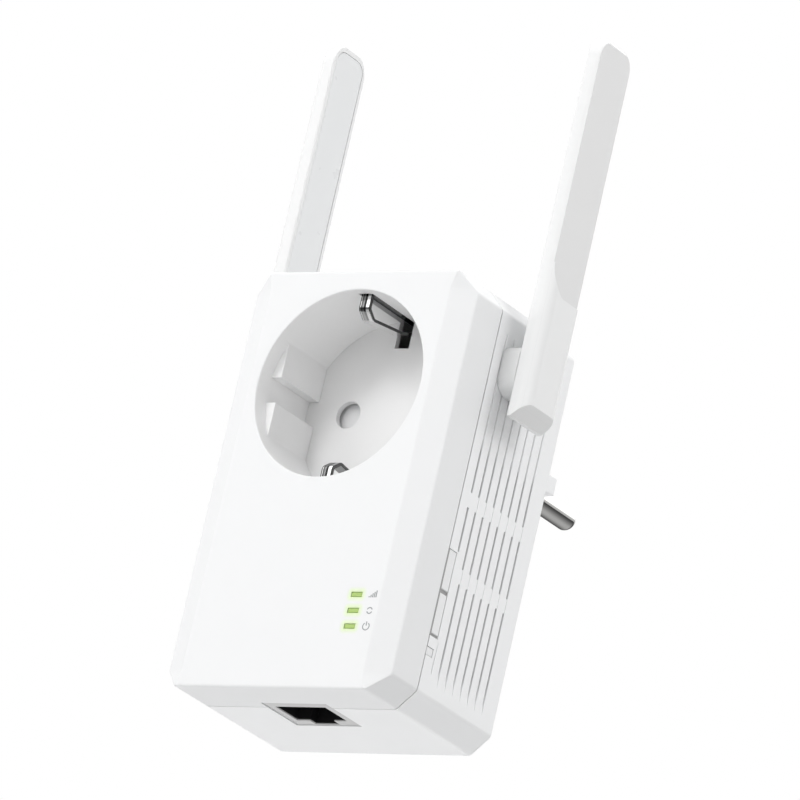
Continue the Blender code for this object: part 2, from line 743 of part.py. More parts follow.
def make_shutter():
    """A blade that turns on the carrier's pivot, with a lobe behind each contact hole."""
    end = SHUTTER_START + SHUTTER_THICKNESS
    reach = CONTACT_SPACING / 2
    joint_x = math.sqrt(SHUTTER_LOBE_RADIUS**2 - SHUTTER_WEB_HALF_WIDTH**2)
    swing = math.atan2(SHUTTER_WEB_HALF_WIDTH, joint_x)
    outline = []
    for side in (1, -1):
        for k in range(13):
            angle = -math.pi + swing + (2 * math.pi - 2 * swing) * k / 12
            x = reach + SHUTTER_LOBE_RADIUS * math.cos(angle)
            outline.append((side * x, SOCKET_RISE + side * SHUTTER_LOBE_RADIUS * math.sin(angle)))
    shutter = piece("socket_shutter", prism(outline, SHUTTER_START, end), WHITE)
    hub = cylinder((0, SHUTTER_START, SOCKET_RISE), (0, 1, 0), SHUTTER_HUB_RADIUS, SHUTTER_THICKNESS + 0.1, 28)
    join(shutter, "hub", hub)
    bore = cylinder((0, SHUTTER_START - OVERSHOOT, SOCKET_RISE), (0, 1, 0), SHUTTER_BORE_RADIUS, 4, 20)
    cut(shutter, "pivot_hole", bore)
    put_origin(shutter, 0, SHUTTER_START, SOCKET_RISE)
    plate = cylinder((0, CARRIER_START, SOCKET_RISE), (0, 1, 0), CARRIER_RADIUS, CARRIER_THICKNESS, 48)
    carrier = piece("shutter_carrier", plate, WHITE)
    pivot_length = CARRIER_START + CARRIER_THICKNESS / 2 - SHUTTER_START
    join(carrier, "pivot", cylinder((0, SHUTTER_START, SOCKET_RISE), (0, 1, 0), PIVOT_RADIUS, pivot_length, 20))
    cut(carrier, "contact_holes", contact_holes(CARRIER_START - OVERSHOOT, 4, CONTACT_HOLE_RADIUS + 0.15))
    make_shutter_spring(end + 0.45)


def make_shutter_spring(start):
    """A flat coil round the pivot, between the blade and the carrier."""
    count = 17
    coil = []
    for k in range(count):
        part = k / (count - 1)
        angle = 2 * math.pi * SPRING_TURNS * part
        x = SPRING_RADIUS * math.cos(angle)
        coil.append((x, start + SPRING_RISE * part, SOCKET_RISE + SPRING_RADIUS * math.sin(angle)))
    wire("shutter_spring", coil, SPRING_WIRE_RADIUS, STEEL)


def make_earth_clips():
    """Sprung earth leaves: back along the tube slot, round at the front, and back over the recess."""
    corners = [(24.0, 20.9), (3.1, 20.9), (3.1, 17.0), (5.2, 15.4), (15.0, 16.6), (21.5, 18.6)]
    profile = rounded(corners, CLIP_BEND, 4, closed=False)
    for name, up in (("bottom", -1), ("top", 1)):
        path = [(y, SOCKET_RISE + up * z) for y, z in profile]
        strip(f"earth_clip_{name}", path, CLIP_WIDTH, CLIP_THICKNESS, STEEL)
    strap_low = (-STRAP_HALF_WIDTH, CONTACT_START, SOCKET_RISE - STRAP_HALF_LENGTH)
    strap_high = (STRAP_HALF_WIDTH, CONTACT_START + STRAP_THICKNESS, SOCKET_RISE + STRAP_HALF_LENGTH)
    piece("earth_strap", box(strap_low, strap_high), NICKEL)


def make_contacts():
    """Sprung sleeves behind the holes, and the bars that carry the current on to them from the pins."""
    for name, side in SIDES:
        x = side * CONTACT_SPACING / 2
        sleeve = cylinder((x, CONTACT_START, SOCKET_RISE), (0, 1, 0), CONTACT_RADIUS, CONTACT_LENGTH, 28)
        contact = piece(f"socket_contact_{name}", sleeve, BRASS)
        start = CONTACT_START - OVERSHOOT
        end = CONTACT_START + CONTACT_LENGTH + OVERSHOOT
        bore = cylinder((x, start, SOCKET_RISE), (0, 1, 0), CONTACT_BORE_RADIUS, end - start, 28)
        cut(contact, "bore", bore)
        slit_end = CONTACT_START + CONTACT_LENGTH - 1.4
        half = CONTACT_SLIT / 2
        slit = box((x - half, start, SOCKET_RISE), (x + half, slit_end, SOCKET_RISE + CONTACT_RADIUS + OVERSHOOT))
        cut(contact, "slit", slit)
        back = BODY_DEPTH - WALL - CLEARANCE
        bar_low = (x - BUS_BAR_HALF_WIDTH, back - BUS_BAR_THICKNESS, BUS_BAR_LOW)
        bar_high = (x + BUS_BAR_HALF_WIDTH, back, SOCKET_RISE + CONTACT_RADIUS)
        piece(f"bus_bar_{name}", box(bar_low, bar_high), BRASS)


# ---------------------------------------------------------------- electronics


def make_main_board():
    start, end = MAIN_BOARD
    half = MAIN_BOARD_HALF_WIDTH
    low, high = MAIN_BOARD_SPAN
    outline = [(-half, high), (-half, low + MAIN_BOARD_CORNER), (-half + MAIN_BOARD_CORNER, low)]
    outline += [(-x, z) for x, z in reversed(outline)]
    board = piece("main_board", prism(outline, start, end), BOARD)
    hole_radius = FRONT_POST_RADIUS + 0.4
    holes = [cylinder((x, start - OVERSHOOT, -POST_Z), (0, 1, 0), hole_radius, 4, 20) for x in (-POST_X, POST_X)]
    cut(board, "post_holes", merged(*holes))
    shield = box((-20, start - 2.7, -26), (-2, start - CLEARANCE, -8))
    piece("rf_shield", shield, STEEL, bevel=0.5)
    make_lights(start - CLEARANCE)
    make_header(end + CLEARANCE, POWER_BOARD[0] - CLEARANCE)


def make_lights(back):
    """A lamp on the front of the main board behind each window, and the clear pipe between them."""
    for number, rise in enumerate(LIGHT_RISES, 1):
        lamp = box((LIGHT_X - 0.8, back - 0.8, rise - 0.4), (LIGHT_X + 0.8, back, rise + 0.4))
        piece(f"led_{number}", lamp, GREEN)
        pipe = piece(f"light_pipe_{number}", light_box(rise, 0, 0.05, back - 1.1), GREEN)
        collar_start = FRONT_WALL + CLEARANCE
        join(pipe, "collar", light_box(rise, LIGHT_COLLAR, collar_start, collar_start + 0.7))


def make_header(start, end):
    """A row of long pins in an insulator, which joins the main board to the power board."""
    half_width = HEADER_PINS * HEADER_PITCH / 2
    bar_low = (-half_width, start, HEADER_RISE - HEADER_HALF_HEIGHT)
    bar = box(bar_low, (half_width, start + HEADER_THICKNESS, HEADER_RISE + HEADER_HALF_HEIGHT))
    header = piece("board_header", bar, BLACK)
    thin = 0.32
    pins = []
    for k in range(HEADER_PINS):
        x = (k - (HEADER_PINS - 1) / 2) * HEADER_PITCH
        pin_low = (x - thin, start + HEADER_THICKNESS / 2, HEADER_RISE - thin)
        pins.append(box(pin_low, (x + thin, end, HEADER_RISE + thin)))
    join(header, "pins", merged(*pins))


def make_jack():
    bottom = -BODY_HEIGHT / 2 + JACK_SINK
    top = bottom + JACK_HEIGHT
    below = bottom - OVERSHOOT
    shell = box((-JACK_HALF_WIDTH, JACK_FRONT, bottom), (JACK_HALF_WIDTH, JACK_BACK, top))
    jack = piece("ethernet_jack", shell, GREY)
    front, back = PORT_SPAN
    cut(jack, "port", box((-PORT_HALF_WIDTH, front, below), (PORT_HALF_WIDTH, back, bottom + PORT_HEIGHT)))
    notch_high = (LATCH_HALF_WIDTH, LATCH_BACK, bottom + LATCH_HEIGHT)
    cut(jack, "latch_notch", box((-LATCH_HALF_WIDTH, back - 0.4, below), notch_high))
    comb = piece("jack_contacts", box((-5.2, front + 0.3, top - 4.6), (5.2, front + 1.1, top - 2.8)), BRASS)
    fingers = []
    for k in range(CONTACT_COUNT):
        x = (k - (CONTACT_COUNT - 1) / 2) * CONTACT_PITCH
        fingers.append(box((x - 0.2, front + 0.4, top - 12), (x + 0.2, front + 0.9, top - 4.4)))
    join(comb, "fingers", merged(*fingers))
    start = MAIN_BOARD[1] + CLEARANCE
    magnetics = box((-7, start, top + 1.5), (7, start + 4.5, top + 8.5))
    piece("ethernet_magnetics", magnetics, BLACK, bevel=0.3)


def make_switches():
    """Side-acting switches on the back of the main board, one behind each key."""
    start = MAIN_BOARD[1] + CLEARANCE
    low_x, high_x = SWITCH_SPAN_X
    for name, span in (("power", POWER_SPAN), ("pairing", PAIRING_SPAN), ("reset", RESET_SPAN)):
        middle = sum(span) / 2
        half = RESET_SWITCH_HALF_HEIGHT if name == "reset" else SWITCH_HALF_HEIGHT
        body = box((low_x, start, middle - half), (high_x, start + SWITCH_THICKNESS, middle + half))
        switch = piece(f"{name}_switch", body, BLACK, bevel=0.25)
        plunger = cylinder((high_x - 0.8, SWITCH_DEPTH, middle), (1, 0, 0), PLUNGER_RADIUS, 1.3, 16)
        join(switch, "plunger", plunger)


def make_power_board():
    start, end = POWER_BOARD
    half = POWER_BOARD_HALF_WIDTH
    low, high = POWER_BOARD_SPAN
    front = start - CLEARANCE
    piece("power_board", box((-half, start, low), (half, end, high)), BOARD)
    core = box((-20, 17, -27.5), (-4, front, -9.5))
    transformer = piece("transformer", core, BLACK, bevel=0.8)
    waist = merged(
        box((-21, 21, -24), (-17.6, 29, -13)),
        box((-6.4, 21, -24), (-3, 29, -13)),
    )
    cut(transformer, "core_windows", waist)
    can_length = front - CAPACITOR_START
    can = cylinder((13, CAPACITOR_START, -13), (0, 1, 0), CAPACITOR_RADIUS, can_length, 32)
    piece("bulk_capacitor", can, BLACK, bevel=0.6)
    fuse = cylinder((3, front - FUSE_RADIUS - 0.7, -26.5), (1, 0, 0), FUSE_RADIUS, FUSE_LENGTH, 20)
    piece("mains_fuse", fuse, GREY, bevel=0.4)


def make_mains_wires():
    """Short wires on the back of the power board, up to the bus bars."""
    for name, side in SIDES:
        x = side * CONTACT_SPACING / 2
        route = [
            (x, 35.8, 2.2),
            (x + side * 0.3, 35.85, -0.8),
            (x + side * 0.7, 35.9, -3.8),
            (x + side * 0.2, 35.9, -6.8),
            (x - side * 0.9, 35.85, -9.6),
        ]
        wire(f"mains_wire_{name}", smooth_path(route, 3), MAINS_WIRE_RADIUS, BLACK)


def make_antenna_leads():
    """Coaxial leads from the main board, up inside the side walls and into the hollow hinges."""
    for name, side in SIDES:
        route = [
            (side * 22.6, 10.2, -5.0),
            (side * 22.9, 10.9, -1.0),
            (side * 23.4, 12.0, 6.0),
            (side * 23.6, 14.0, 14.0),
            (side * 23.3, 15.6, 21.0),
            (side * 22.0, 17.6, 26.4),
            (side * 21.9, 20.0, 29.0),
            (side * 23.6, HINGE_DEPTH, HINGE_RISE),
            (side * 28.5, HINGE_DEPTH, HINGE_RISE),
        ]
        wire(f"antenna_lead_{name}", smooth_path(route, 4), LEAD_RADIUS, BLACK)


# ---------------------------------------------------------------- keys


def make_keys():
    """Each key is a cap in its window with a wider foot inside the wall and a stem towards its switch."""
    wall_inner = BODY_WIDTH / 2 - WALL
    inner = wall_inner - CLEARANCE - KEY_FOOT_THICKNESS
    face = BODY_WIDTH / 2 - KEY_SINK
    keys = (
        ("power", POWER_SPAN, KEY_DEPTHS),
        ("pairing", PAIRING_SPAN, KEY_DEPTHS),
        ("reset", RESET_SPAN, RESET_DEPTHS),
    )
    for name, (low, high), (front, back) in keys:
        key = piece(f"{name}_button", box((inner, front, low), (face, back, high)), WHITE)
        foot_high = (wall_inner - CLEARANCE, back + 0.5, high + KEY_FOOT)
        join(key, "foot", box((inner, front, low - KEY_FOOT), foot_high))
        middle = (low + high) / 2
        stem = cylinder((inner - CLEARANCE, SWITCH_DEPTH, middle), (1, 0, 0), KEY_STEM_RADIUS, 1.0, 16)
        join(key, "stem", stem)
        put_origin(key, face, (front + back) / 2, middle)


# ---------------------------------------------------------------- antennas


def antenna_section(front, back, inner, outer, steps=5):
    """The antenna's section in x and y: a flat inner side and large rounds on its outer corners."""
    thickness = outer - inner
    outer_round = min(ANTENNA_OUTER_ROUND, thickness * 0.62, (back - front) * 0.45)
    corners = [(inner, front), (outer, front), (outer, back), (inner, back)]
    radii = (ANTENNA_EDGE, outer_round, outer_round * 0.85, ANTENNA_EDGE)
    made = []
    for i, radius in enumerate(radii):
        spot = Vector(corners[i])
        before = (Vector(corners[i - 1]) - spot).normalized()
        after = (Vector(corners[(i + 1) % 4]) - spot).normalized()
        centre = spot + (before + after) * radius
        for k in range(steps + 1):
            angle = math.pi / 2 * k / steps
            made.append(tuple(centre - after * radius * math.cos(angle) - before * radius * math.sin(angle)))
    return made


def antenna_rings(side):
    """Sections up the antenna: a straight blade and a tip whose corners are rounded."""
    front = HINGE_DEPTH - ANTENNA_WIDTH / 2
    back = HINGE_DEPTH + ANTENNA_WIDTH / 2
    outer = ANTENNA_INNER + ANTENNA_THICKNESS
    tip_start = ANTENNA_TOP - TIP_HEIGHT
    section = antenna_section(front, back, ANTENNA_INNER, outer)
    rings = [[(x, y, z) for x, y in section] for z in (ANTENNA_BOTTOM, tip_start)]
    steps = 6
    for k in range(1, steps + 1):
        angle = math.pi / 2 * k / steps
        pull = 1 - math.cos(angle)
        z = tip_start + TIP_HEIGHT * math.sin(angle)
        ring = antenna_section(
            front + TIP_FRONT_PULL * pull,
            back - TIP_BACK_PULL * pull,
            ANTENNA_INNER + TIP_INNER_PULL * pull,
            outer - TIP_OUTER_PULL * pull**0.8,
        )
        rings.append([(x, y, z) for x, y in ring])
    return [[(side * x, y, z) for x, y, z in ring] for ring in rings]


def foot_cutter(side):
    """What is cut off the antenna's foot: beyond a narrow ledge it slants up towards its outer side."""
    ledge = ANTENNA_INNER + FOOT_LEDGE
    beyond = ANTENNA_INNER + ANTENNA_THICKNESS + OVERSHOOT
    low = ANTENNA_BOTTOM - OVERSHOOT
    outline = [
        (side * (ledge - OVERSHOOT / FOOT_SLANT), low),
        (side * beyond, low),
        (side * beyond, ANTENNA_BOTTOM + FOOT_SLANT * (beyond - ledge)),
    ]
    return prism(outline, HINGE_DEPTH - ANTENNA_WIDTH, HINGE_DEPTH + ANTENNA_WIDTH)


def facet_cutter(side):
    """Everything beyond the flat facet on the antenna's outer side, from its curved foot up past the tip."""
    reach, rise = FACET_CURVE
    front = HINGE_DEPTH - ANTENNA_WIDTH / 2 - OVERSHOOT
    back = HINGE_DEPTH + ANTENNA_WIDTH / 2 + OVERSHOOT
    top = ANTENNA_TOP + OVERSHOOT
    steps = 6
    foot = []
    for k in range(steps + 1):
        angle = math.pi / 2 * k / steps
        y = FACET_FRONT + reach * (1 - math.cos(angle))
        foot.append((y, FACET_BOTTOM + rise * (1 - math.sin(angle))))
    outline = [(front, top), (front, FACET_BOTTOM + rise), *foot, (back, FACET_BOTTOM), (back, top)]
    low, high = sorted((side * FACET_X, side * (FACET_X + ANTENNA_THICKNESS)))
    return prism(outline, low, high, "x")


def inlay_plate(side, start, end, margin):
    """A flat plate or pocket that follows the antenna's outline on its inner side."""
    front = HINGE_DEPTH - ANTENNA_WIDTH / 2 + margin
    back = HINGE_DEPTH + ANTENNA_WIDTH / 2 - margin
    low = INLAY_BOTTOM + margin
    high = ANTENNA_TOP - margin
    outline = [(front, low), (back, low), (back, high), (front, high)]
    top_round = min(INLAY_TOP_ROUND, (back - front) * 0.4)
    radii = [INLAY_FOOT_ROUND, INLAY_FOOT_ROUND, top_round, top_round]
    low_x, high_x = sorted((side * start, side * end))
    return prism(rounded(outline, radii, 4), low_x, high_x, "x")


def make_antennas():
    floor = ANTENNA_INNER + INLAY_DEPTH
    plate_start = ANTENNA_INNER + 0.05
    for name, side in SIDES:
        shell = piece(f"antenna_shell_{name}", loft(antenna_rings(side)), GLOSS_WHITE)
        cut(shell, "foot", foot_cutter(side))
        cut(shell, "facet", facet_cutter(side))
        cut(shell, "inlay", inlay_plate(side, ANTENNA_INNER - OVERSHOOT, floor, INLAY_MARGIN))
        channel_floor = ANTENNA_INNER + CHANNEL_DEPTH
        cut(shell, "channel", inlay_plate(side, ANTENNA_INNER - OVERSHOOT, channel_floor, CHANNEL_MARGIN))
        cut(shell, "lead_hole", lead_hole(side))
        put_origin(shell, side * ANTENNA_INNER, HINGE_DEPTH, HINGE_RISE)
        plate = inlay_plate(side, plate_start, plate_start + PLATE_THICKNESS, INLAY_MARGIN + 0.15)
        cover = piece(f"antenna_cover_{name}", plate, WHITE)
        put_origin(cover, side * ANTENNA_INNER, HINGE_DEPTH, HINGE_RISE)
        element_start = floor + 0.1
        low_x, high_x = sorted((side * element_start, side * (element_start + ELEMENT_THICKNESS)))
        low_z, high_z = ELEMENT_SPAN
        blade = box(
            (low_x, HINGE_DEPTH - ELEMENT_HALF_WIDTH, low_z),
            (high_x, HINGE_DEPTH + ELEMENT_HALF_WIDTH, high_z),
        )
        element = piece(f"antenna_element_{name}", blade, BOARD)
        put_origin(element, side * ANTENNA_INNER, HINGE_DEPTH, HINGE_RISE)
        make_knuckle(name, side)
        make_hinge_ring(name, side)


def lead_hole(side):
    """The way in for the lead, behind the knuckle."""
    half = LEAD_BORE_RADIUS
    low_x, high_x = sorted((side * (ANTENNA_INNER - OVERSHOOT), side * (ANTENNA_INNER + 2.2)))
    return box((low_x, HINGE_DEPTH - half, HINGE_RISE - half), (high_x, HINGE_DEPTH + half, HINGE_RISE + half))


def make_knuckle(name, side):
    """A block between the wall and the antenna, with a hollow journal through the wall."""
    front, back = HINGE_DEPTH - KNUCKLE_HALF_DEPTH, HINGE_DEPTH + KNUCKLE_HALF_DEPTH
    low, high = HINGE_RISE - KNUCKLE_HALF_HEIGHT, HINGE_RISE + KNUCKLE_HALF_HEIGHT
    radii = [KNUCKLE_FOOT_ROUND, KNUCKLE_FOOT_ROUND, KNUCKLE_TOP_ROUND, KNUCKLE_TOP_ROUND]
    outline = rounded([(front, low), (back, low), (back, high), (front, high)], radii, 5)
    wall = BODY_WIDTH / 2
    low_x, high_x = sorted((side * (wall + CLEARANCE), side * (ANTENNA_INNER - CLEARANCE)))
    knuckle = piece(f"hinge_knuckle_{name}", prism(outline, low_x, high_x, "x"), WHITE)
    start = (side * JOURNAL_START, HINGE_DEPTH, HINGE_RISE)
    journal_length = wall + OVERSHOOT - JOURNAL_START
    join(knuckle, "journal", cylinder(start, (side, 0, 0), JOURNAL_RADIUS, journal_length, 24))
    bore_start = (side * (JOURNAL_START - OVERSHOOT), HINGE_DEPTH, HINGE_RISE)
    cut(knuckle, "lead_bore", cylinder(bore_start, (side, 0, 0), LEAD_BORE_RADIUS, 12, 16))
    groove_start = JOURNAL_START + 0.5
    groove = collar(
        side * groove_start, side * (groove_start + GROOVE_WIDTH), GROOVE_RADIUS, JOURNAL_RADIUS + 0.7
    )
    cut(knuckle, "ring_groove", groove)
    put_origin(knuckle, side * wall, HINGE_DEPTH, HINGE_RISE)


def make_hinge_ring(name, side):
    """An open spring ring in the journal's groove, which keeps the hinge in the wall."""
    ring_start = side * (JOURNAL_START + 0.65)
    disc = cylinder((ring_start, HINGE_DEPTH, HINGE_RISE), (side, 0, 0), RING_RADIUS, RING_THICKNESS, 28)
    ring = piece(f"hinge_ring_{name}", disc, STEEL)
    start = (side * JOURNAL_START, HINGE_DEPTH, HINGE_RISE)
    cut(ring, "bore", cylinder(start, (side, 0, 0), RING_BORE_RADIUS, 3, 24))
    low_x, high_x = sorted((side * JOURNAL_START, side * (JOURNAL_START + 3)))
    low = HINGE_RISE - RING_RADIUS - OVERSHOOT
    half = RING_MOUTH / 2
    cut(ring, "mouth", box((low_x, HINGE_DEPTH - half, low), (high_x, HINGE_DEPTH + half, HINGE_RISE)))
    put_origin(ring, side * BODY_WIDTH / 2, HINGE_DEPTH, HINGE_RISE)


def collar(start, end, inner_radius, outer_radius, segments=24):
    """A closed ring about the hinge axis between two x positions."""
    bm = bmesh.new()
    loops = []
    for x, radius in (
        (start, inner_radius),
        (start, outer_radius),
        (end, outer_radius),
        (end, inner_radius),
    ):
        loop = []
        for k in range(segments):
            angle = 2 * math.pi * k / segments
            spot = (x, HINGE_DEPTH + radius * math.cos(angle), HINGE_RISE + radius * math.sin(angle))
            loop.append(bm.verts.new(spot))
        loops.append(loop)
    for here, there in zip(loops, loops[1:] + loops[:1]):
        for i in range(segments):
            j = (i + 1) % segments
            bm.faces.new((here[i], here[j], there[j], there[i]))
    bmesh.ops.recalc_face_normals(bm, faces=bm.faces)
    return bm


make_front_cover()
make_rear_housing()
make_case_screws()
make_plug()
make_socket_floor()
make_shutter()
make_earth_clips()
make_contacts()
make_main_board()
make_jack()
make_switches()
make_power_board()
make_mains_wires()
make_antenna_leads()
make_keys()
make_antennas()
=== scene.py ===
"""Looks for the plug-in wifi range extender: finer shells, plastics, metals, lights and camera.

Shapes are drawn in millimetres from the middle of the front face: x to the right, y back, z up.
"""

import json
import math

import bmesh
import bpy
from mathutils import Matrix, Vector

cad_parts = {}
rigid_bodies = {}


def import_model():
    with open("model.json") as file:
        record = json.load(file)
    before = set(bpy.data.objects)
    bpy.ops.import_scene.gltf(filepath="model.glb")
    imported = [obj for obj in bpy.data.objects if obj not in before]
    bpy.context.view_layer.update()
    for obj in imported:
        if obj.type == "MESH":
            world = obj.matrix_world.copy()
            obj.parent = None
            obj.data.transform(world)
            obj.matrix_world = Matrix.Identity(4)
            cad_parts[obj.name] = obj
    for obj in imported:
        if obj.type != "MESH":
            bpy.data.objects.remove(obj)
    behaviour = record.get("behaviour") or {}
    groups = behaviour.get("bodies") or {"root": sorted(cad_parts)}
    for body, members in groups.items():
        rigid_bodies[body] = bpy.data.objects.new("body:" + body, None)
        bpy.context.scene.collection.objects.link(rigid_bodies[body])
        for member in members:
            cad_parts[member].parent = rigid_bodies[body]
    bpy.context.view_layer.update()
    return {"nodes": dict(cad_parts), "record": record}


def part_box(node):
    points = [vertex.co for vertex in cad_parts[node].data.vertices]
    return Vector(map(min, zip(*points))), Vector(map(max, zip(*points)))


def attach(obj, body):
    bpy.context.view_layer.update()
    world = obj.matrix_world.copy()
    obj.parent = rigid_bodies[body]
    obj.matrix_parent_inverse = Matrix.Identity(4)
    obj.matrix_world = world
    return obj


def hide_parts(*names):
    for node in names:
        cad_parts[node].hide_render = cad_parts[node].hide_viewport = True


MM = 0.001

for old in list(bpy.data.objects):
    bpy.data.objects.remove(old)
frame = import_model()
NODES = frame["nodes"]

COVER_LOW, COVER_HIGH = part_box("front_cover")
FRONT_CENTRE = Vector(((COVER_LOW.x + COVER_HIGH.x) / 2, COVER_LOW.y, (COVER_LOW.z + COVER_HIGH.z) / 2))
TO_WORLD = Matrix.Translation(FRONT_CENTRE) @ Matrix.Scale(MM, 4)
TO_MM = TO_WORLD.inverted()


def extent(node):
    """A node's low and high corners in millimetres from the middle of the front face."""
    low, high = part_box(node)
    return TO_MM @ low, TO_MM @ high


# Body
HALF_WIDTH = extent("front_cover")[1].x
HALF_HEIGHT = extent("front_cover")[1].z
REAR_LOW, REAR_HIGH = extent("rear_housing")
BODY_DEPTH = REAR_HIGH.y
SPLIT_BACK = REAR_LOW.y
SPLIT_FRONT = SPLIT_BACK - 0.3
CORNER_CUT = 4.1
CORNER_ROUND = 1.5
WALL = 1.8
FACE_HALF_WIDTH = 22.3
SIDE_BEVEL_DEPTH = 2.6
EDGE = 0.3
LIP = 0.05
BACK_ROUND = 1.5

# Outlet
FLOOR_LOW, FLOOR_HIGH = extent("socket_floor")
SOCKET_RISE = (FLOOR_LOW.z + FLOOR_HIGH.z) / 2
SOCKET_DEPTH = FLOOR_LOW.y
SOCKET_RADIUS = 20.0
TUBE_RADIUS = FLOOR_HIGH.x
TUBE_END = FLOOR_LOW.y - 0.02
RIB_HALF_SPACING = 17.4
RIB_START = 3.75
RIB_SLOT = 5.4
CONTACT_X = 9.5
CONTACT_HOLE_RADIUS = 2.85
CLIP_SLOT_WIDTH = 3.5
CLIP_HALF_WIDTH = 1.35
# Painted reflections: grey levels across an earth clip's nose, from its left edge to its right edge
NOSE_PAINTED_REFLECTIONS = (
    (0.0, 0.01),
    (0.08, 0.02),
    (0.13, 0.8),
    (0.2, 0.06),
    (0.4, 0.35),
    (0.46, 0.02),
    (0.6, 0.04),
    (0.66, 0.98),
    (0.88, 0.98),
    (0.94, 0.02),
)

# Plug
PLUG_LOW, PLUG_HIGH = extent("plug_base")
PLUG_RISE = (PLUG_LOW.z + PLUG_HIGH.z) / 2
PLUG_FACE = PLUG_HIGH.y
PLUG_RADIUS = PLUG_HIGH.z - PLUG_RISE
PLUG_FLAT = 16.4
PLUG_KEY_WIDTH = 3.9

# Antennas
SHELL_LOW, SHELL_HIGH = extent("antenna_shell_right")
KNUCKLE_LOW, KNUCKLE_HIGH = extent("hinge_knuckle_right")
HINGE_DEPTH = (SHELL_LOW.y + SHELL_HIGH.y) / 2
HINGE_RISE = (KNUCKLE_LOW.z + KNUCKLE_HIGH.z) / 2
ANTENNA_INNER = SHELL_LOW.x
ANTENNA_OUTER = SHELL_HIGH.x
FACET_X = 34.65
FACET_FRONT = 15.1
FACET_FOOT = 45.4
FACET_CURVE = (4.2, 6.6)
FOOT_LEDGE = 1.0
FOOT_SLANT = 0.88
OUTER_ROUND = 2.6
TIP_HEIGHT = 4.6
TIP_FRONT_PULL = 3.4
TIP_BACK_PULL = 3.2
TIP_OUTER_PULL = 3.2
TIP_INNER_PULL = 0.1
INLAY_LOW, INLAY_HIGH = extent("antenna_cover_right")

# Vents
VENT_COUNT = 8
VENT_START = 14.7
VENT_PITCH = 2.71
VENT_WIDTH = 0.6

# Status lights and the marks beside them
LIGHT_HALF_WIDTH = 1.23
LIGHT_HALF_HEIGHT = 0.44
GLOW_REACH = 1.4
MARK_X = 20.45
INK = 0.02

# Network jack
JACK_LOW, JACK_HIGH = extent("ethernet_jack")

# Keys
KEY_FOOT = 0.3
KEY_FRAME = 0.5

# Camera and studio
VIEW_AZIMUTH = 37.89
VIEW_ELEVATION = -17.53
VIEW_ROLL = 12.9
VIEW_DISTANCE = 1.8056
VIEW_TARGET = TO_WORLD @ Vector((13.46, 3.48, 17.87))
LENS = 409.6
FLOOR_DROP = 0.66
FLOOR_HALF_SIZE = 200000
BACKDROP_RADIUS = 5000
BACKDROP_TOP = 300
REFLECTOR_RISE = 1500
REFLECTOR_HALF_SIZE = 4000
LIGHT_TARGET = TO_WORLD @ Vector((5, 15, 10))
METAL_GRAIN = 2600
# The world's brightness for each upward part of a direction, from straight down to straight up
WORLD_LEVELS = (
    (-1.0, 0.4),
    (-0.65, 0.42),
    (-0.5, 0.25),
    (-0.3, 0.12),
    (-0.12, 0.05),
    (-0.04, 0.05),
    (-0.01, 0.48),
    (0.17, 0.48),
    (0.22, 1.0),
    (0.38, 1.0),
    (0.43, 0.48),
    (1.0, 0.48),
)
# Name, direction from the object, distance, size and power
SOFT_LIGHTS = (
    ("front_top", (-0.2, -0.8, 0.6), 1.6, 0.5, 9.3),
    ("front_left", (-0.65, -0.7, 0.2), 1.6, 0.5, 3.0),
    ("front", (0.0, -1.0, 0.15), 1.6, 0.9, 2.3),
    ("upper_right", (0.7, 0.1, 0.7), 1.6, 0.9, 9.5),
    ("low_back", (-0.45, 0.6, -0.6), 0.8, 0.5, 2.6),
)

SIDES = (("left", -1), ("right", 1))


# ---------------------------------------------------------------- shapes


def rounded(corners, radius, steps, closed=True):
    """The corners of a 2D line, each replaced by an arc. An open line keeps its two ends.

    Radius is one number for all corners, or a list with one for each corner.
    """
    made = []
    count = len(corners)
    radii = radius if isinstance(radius, list) else [radius] * count
    for i, corner in enumerate(corners):
        if not closed and i in (0, count - 1):
            made.append(tuple(corner))
            continue
        here = Vector(corner)
        before = (Vector(corners[i - 1]) - here).normalized()
        after = (Vector(corners[(i + 1) % count]) - here).normalized()
        half_angle = before.angle(after) / 2
        reach = radii[i] / math.tan(half_angle)
        centre = here + (before + after).normalized() * radii[i] / math.sin(half_angle)
        start = here + before * reach - centre
        turn = start.angle_signed(here + after * reach - centre)
        for k in range(steps + 1):
            arm = start.copy()
            arm.rotate(Matrix.Rotation(-turn * k / steps, 2))
            made.append(tuple(centre + arm))
    return made


def eased(line, reach, steps):
    """A 3D line with each inner corner eased into a curve, always with as many points."""
    spots = [Vector(point) for point in line]
    made = [spots[0]]
    for before, corner, after in zip(spots, spots[1:], spots[2:]):
        back = before - corner
        on = after - corner
        start = corner + back.normalized() * min(reach, back.length * 0.45)
        end = corner + on.normalized() * min(reach, on.length * 0.45)
        for k in range(steps + 1):
            t = k / steps
            made.append(start * (1 - t) ** 2 + corner * 2 * t * (1 - t) + end * t**2)
    made.append(spots[-1])
    return made


def body_outline(inset=0.0):
    """The body's outline in x and z, moved inwards by inset."""
    half_width = HALF_WIDTH - inset
    half_height = HALF_HEIGHT - inset
    cut_size = CORNER_CUT - inset * (2 - math.sqrt(2))
    corners = [
        (half_width, -half_height + cut_size),
        (half_width, half_height - cut_size),
        (half_width - cut_size, half_height),
        (-half_width + cut_size, half_height),
        (-half_width, half_height - cut_size),
        (-half_width, -half_height + cut_size),
        (-half_width + cut_size, -half_height),
        (half_width - cut_size, -half_height),
    ]
    return rounded(corners, CORNER_ROUND, 6)


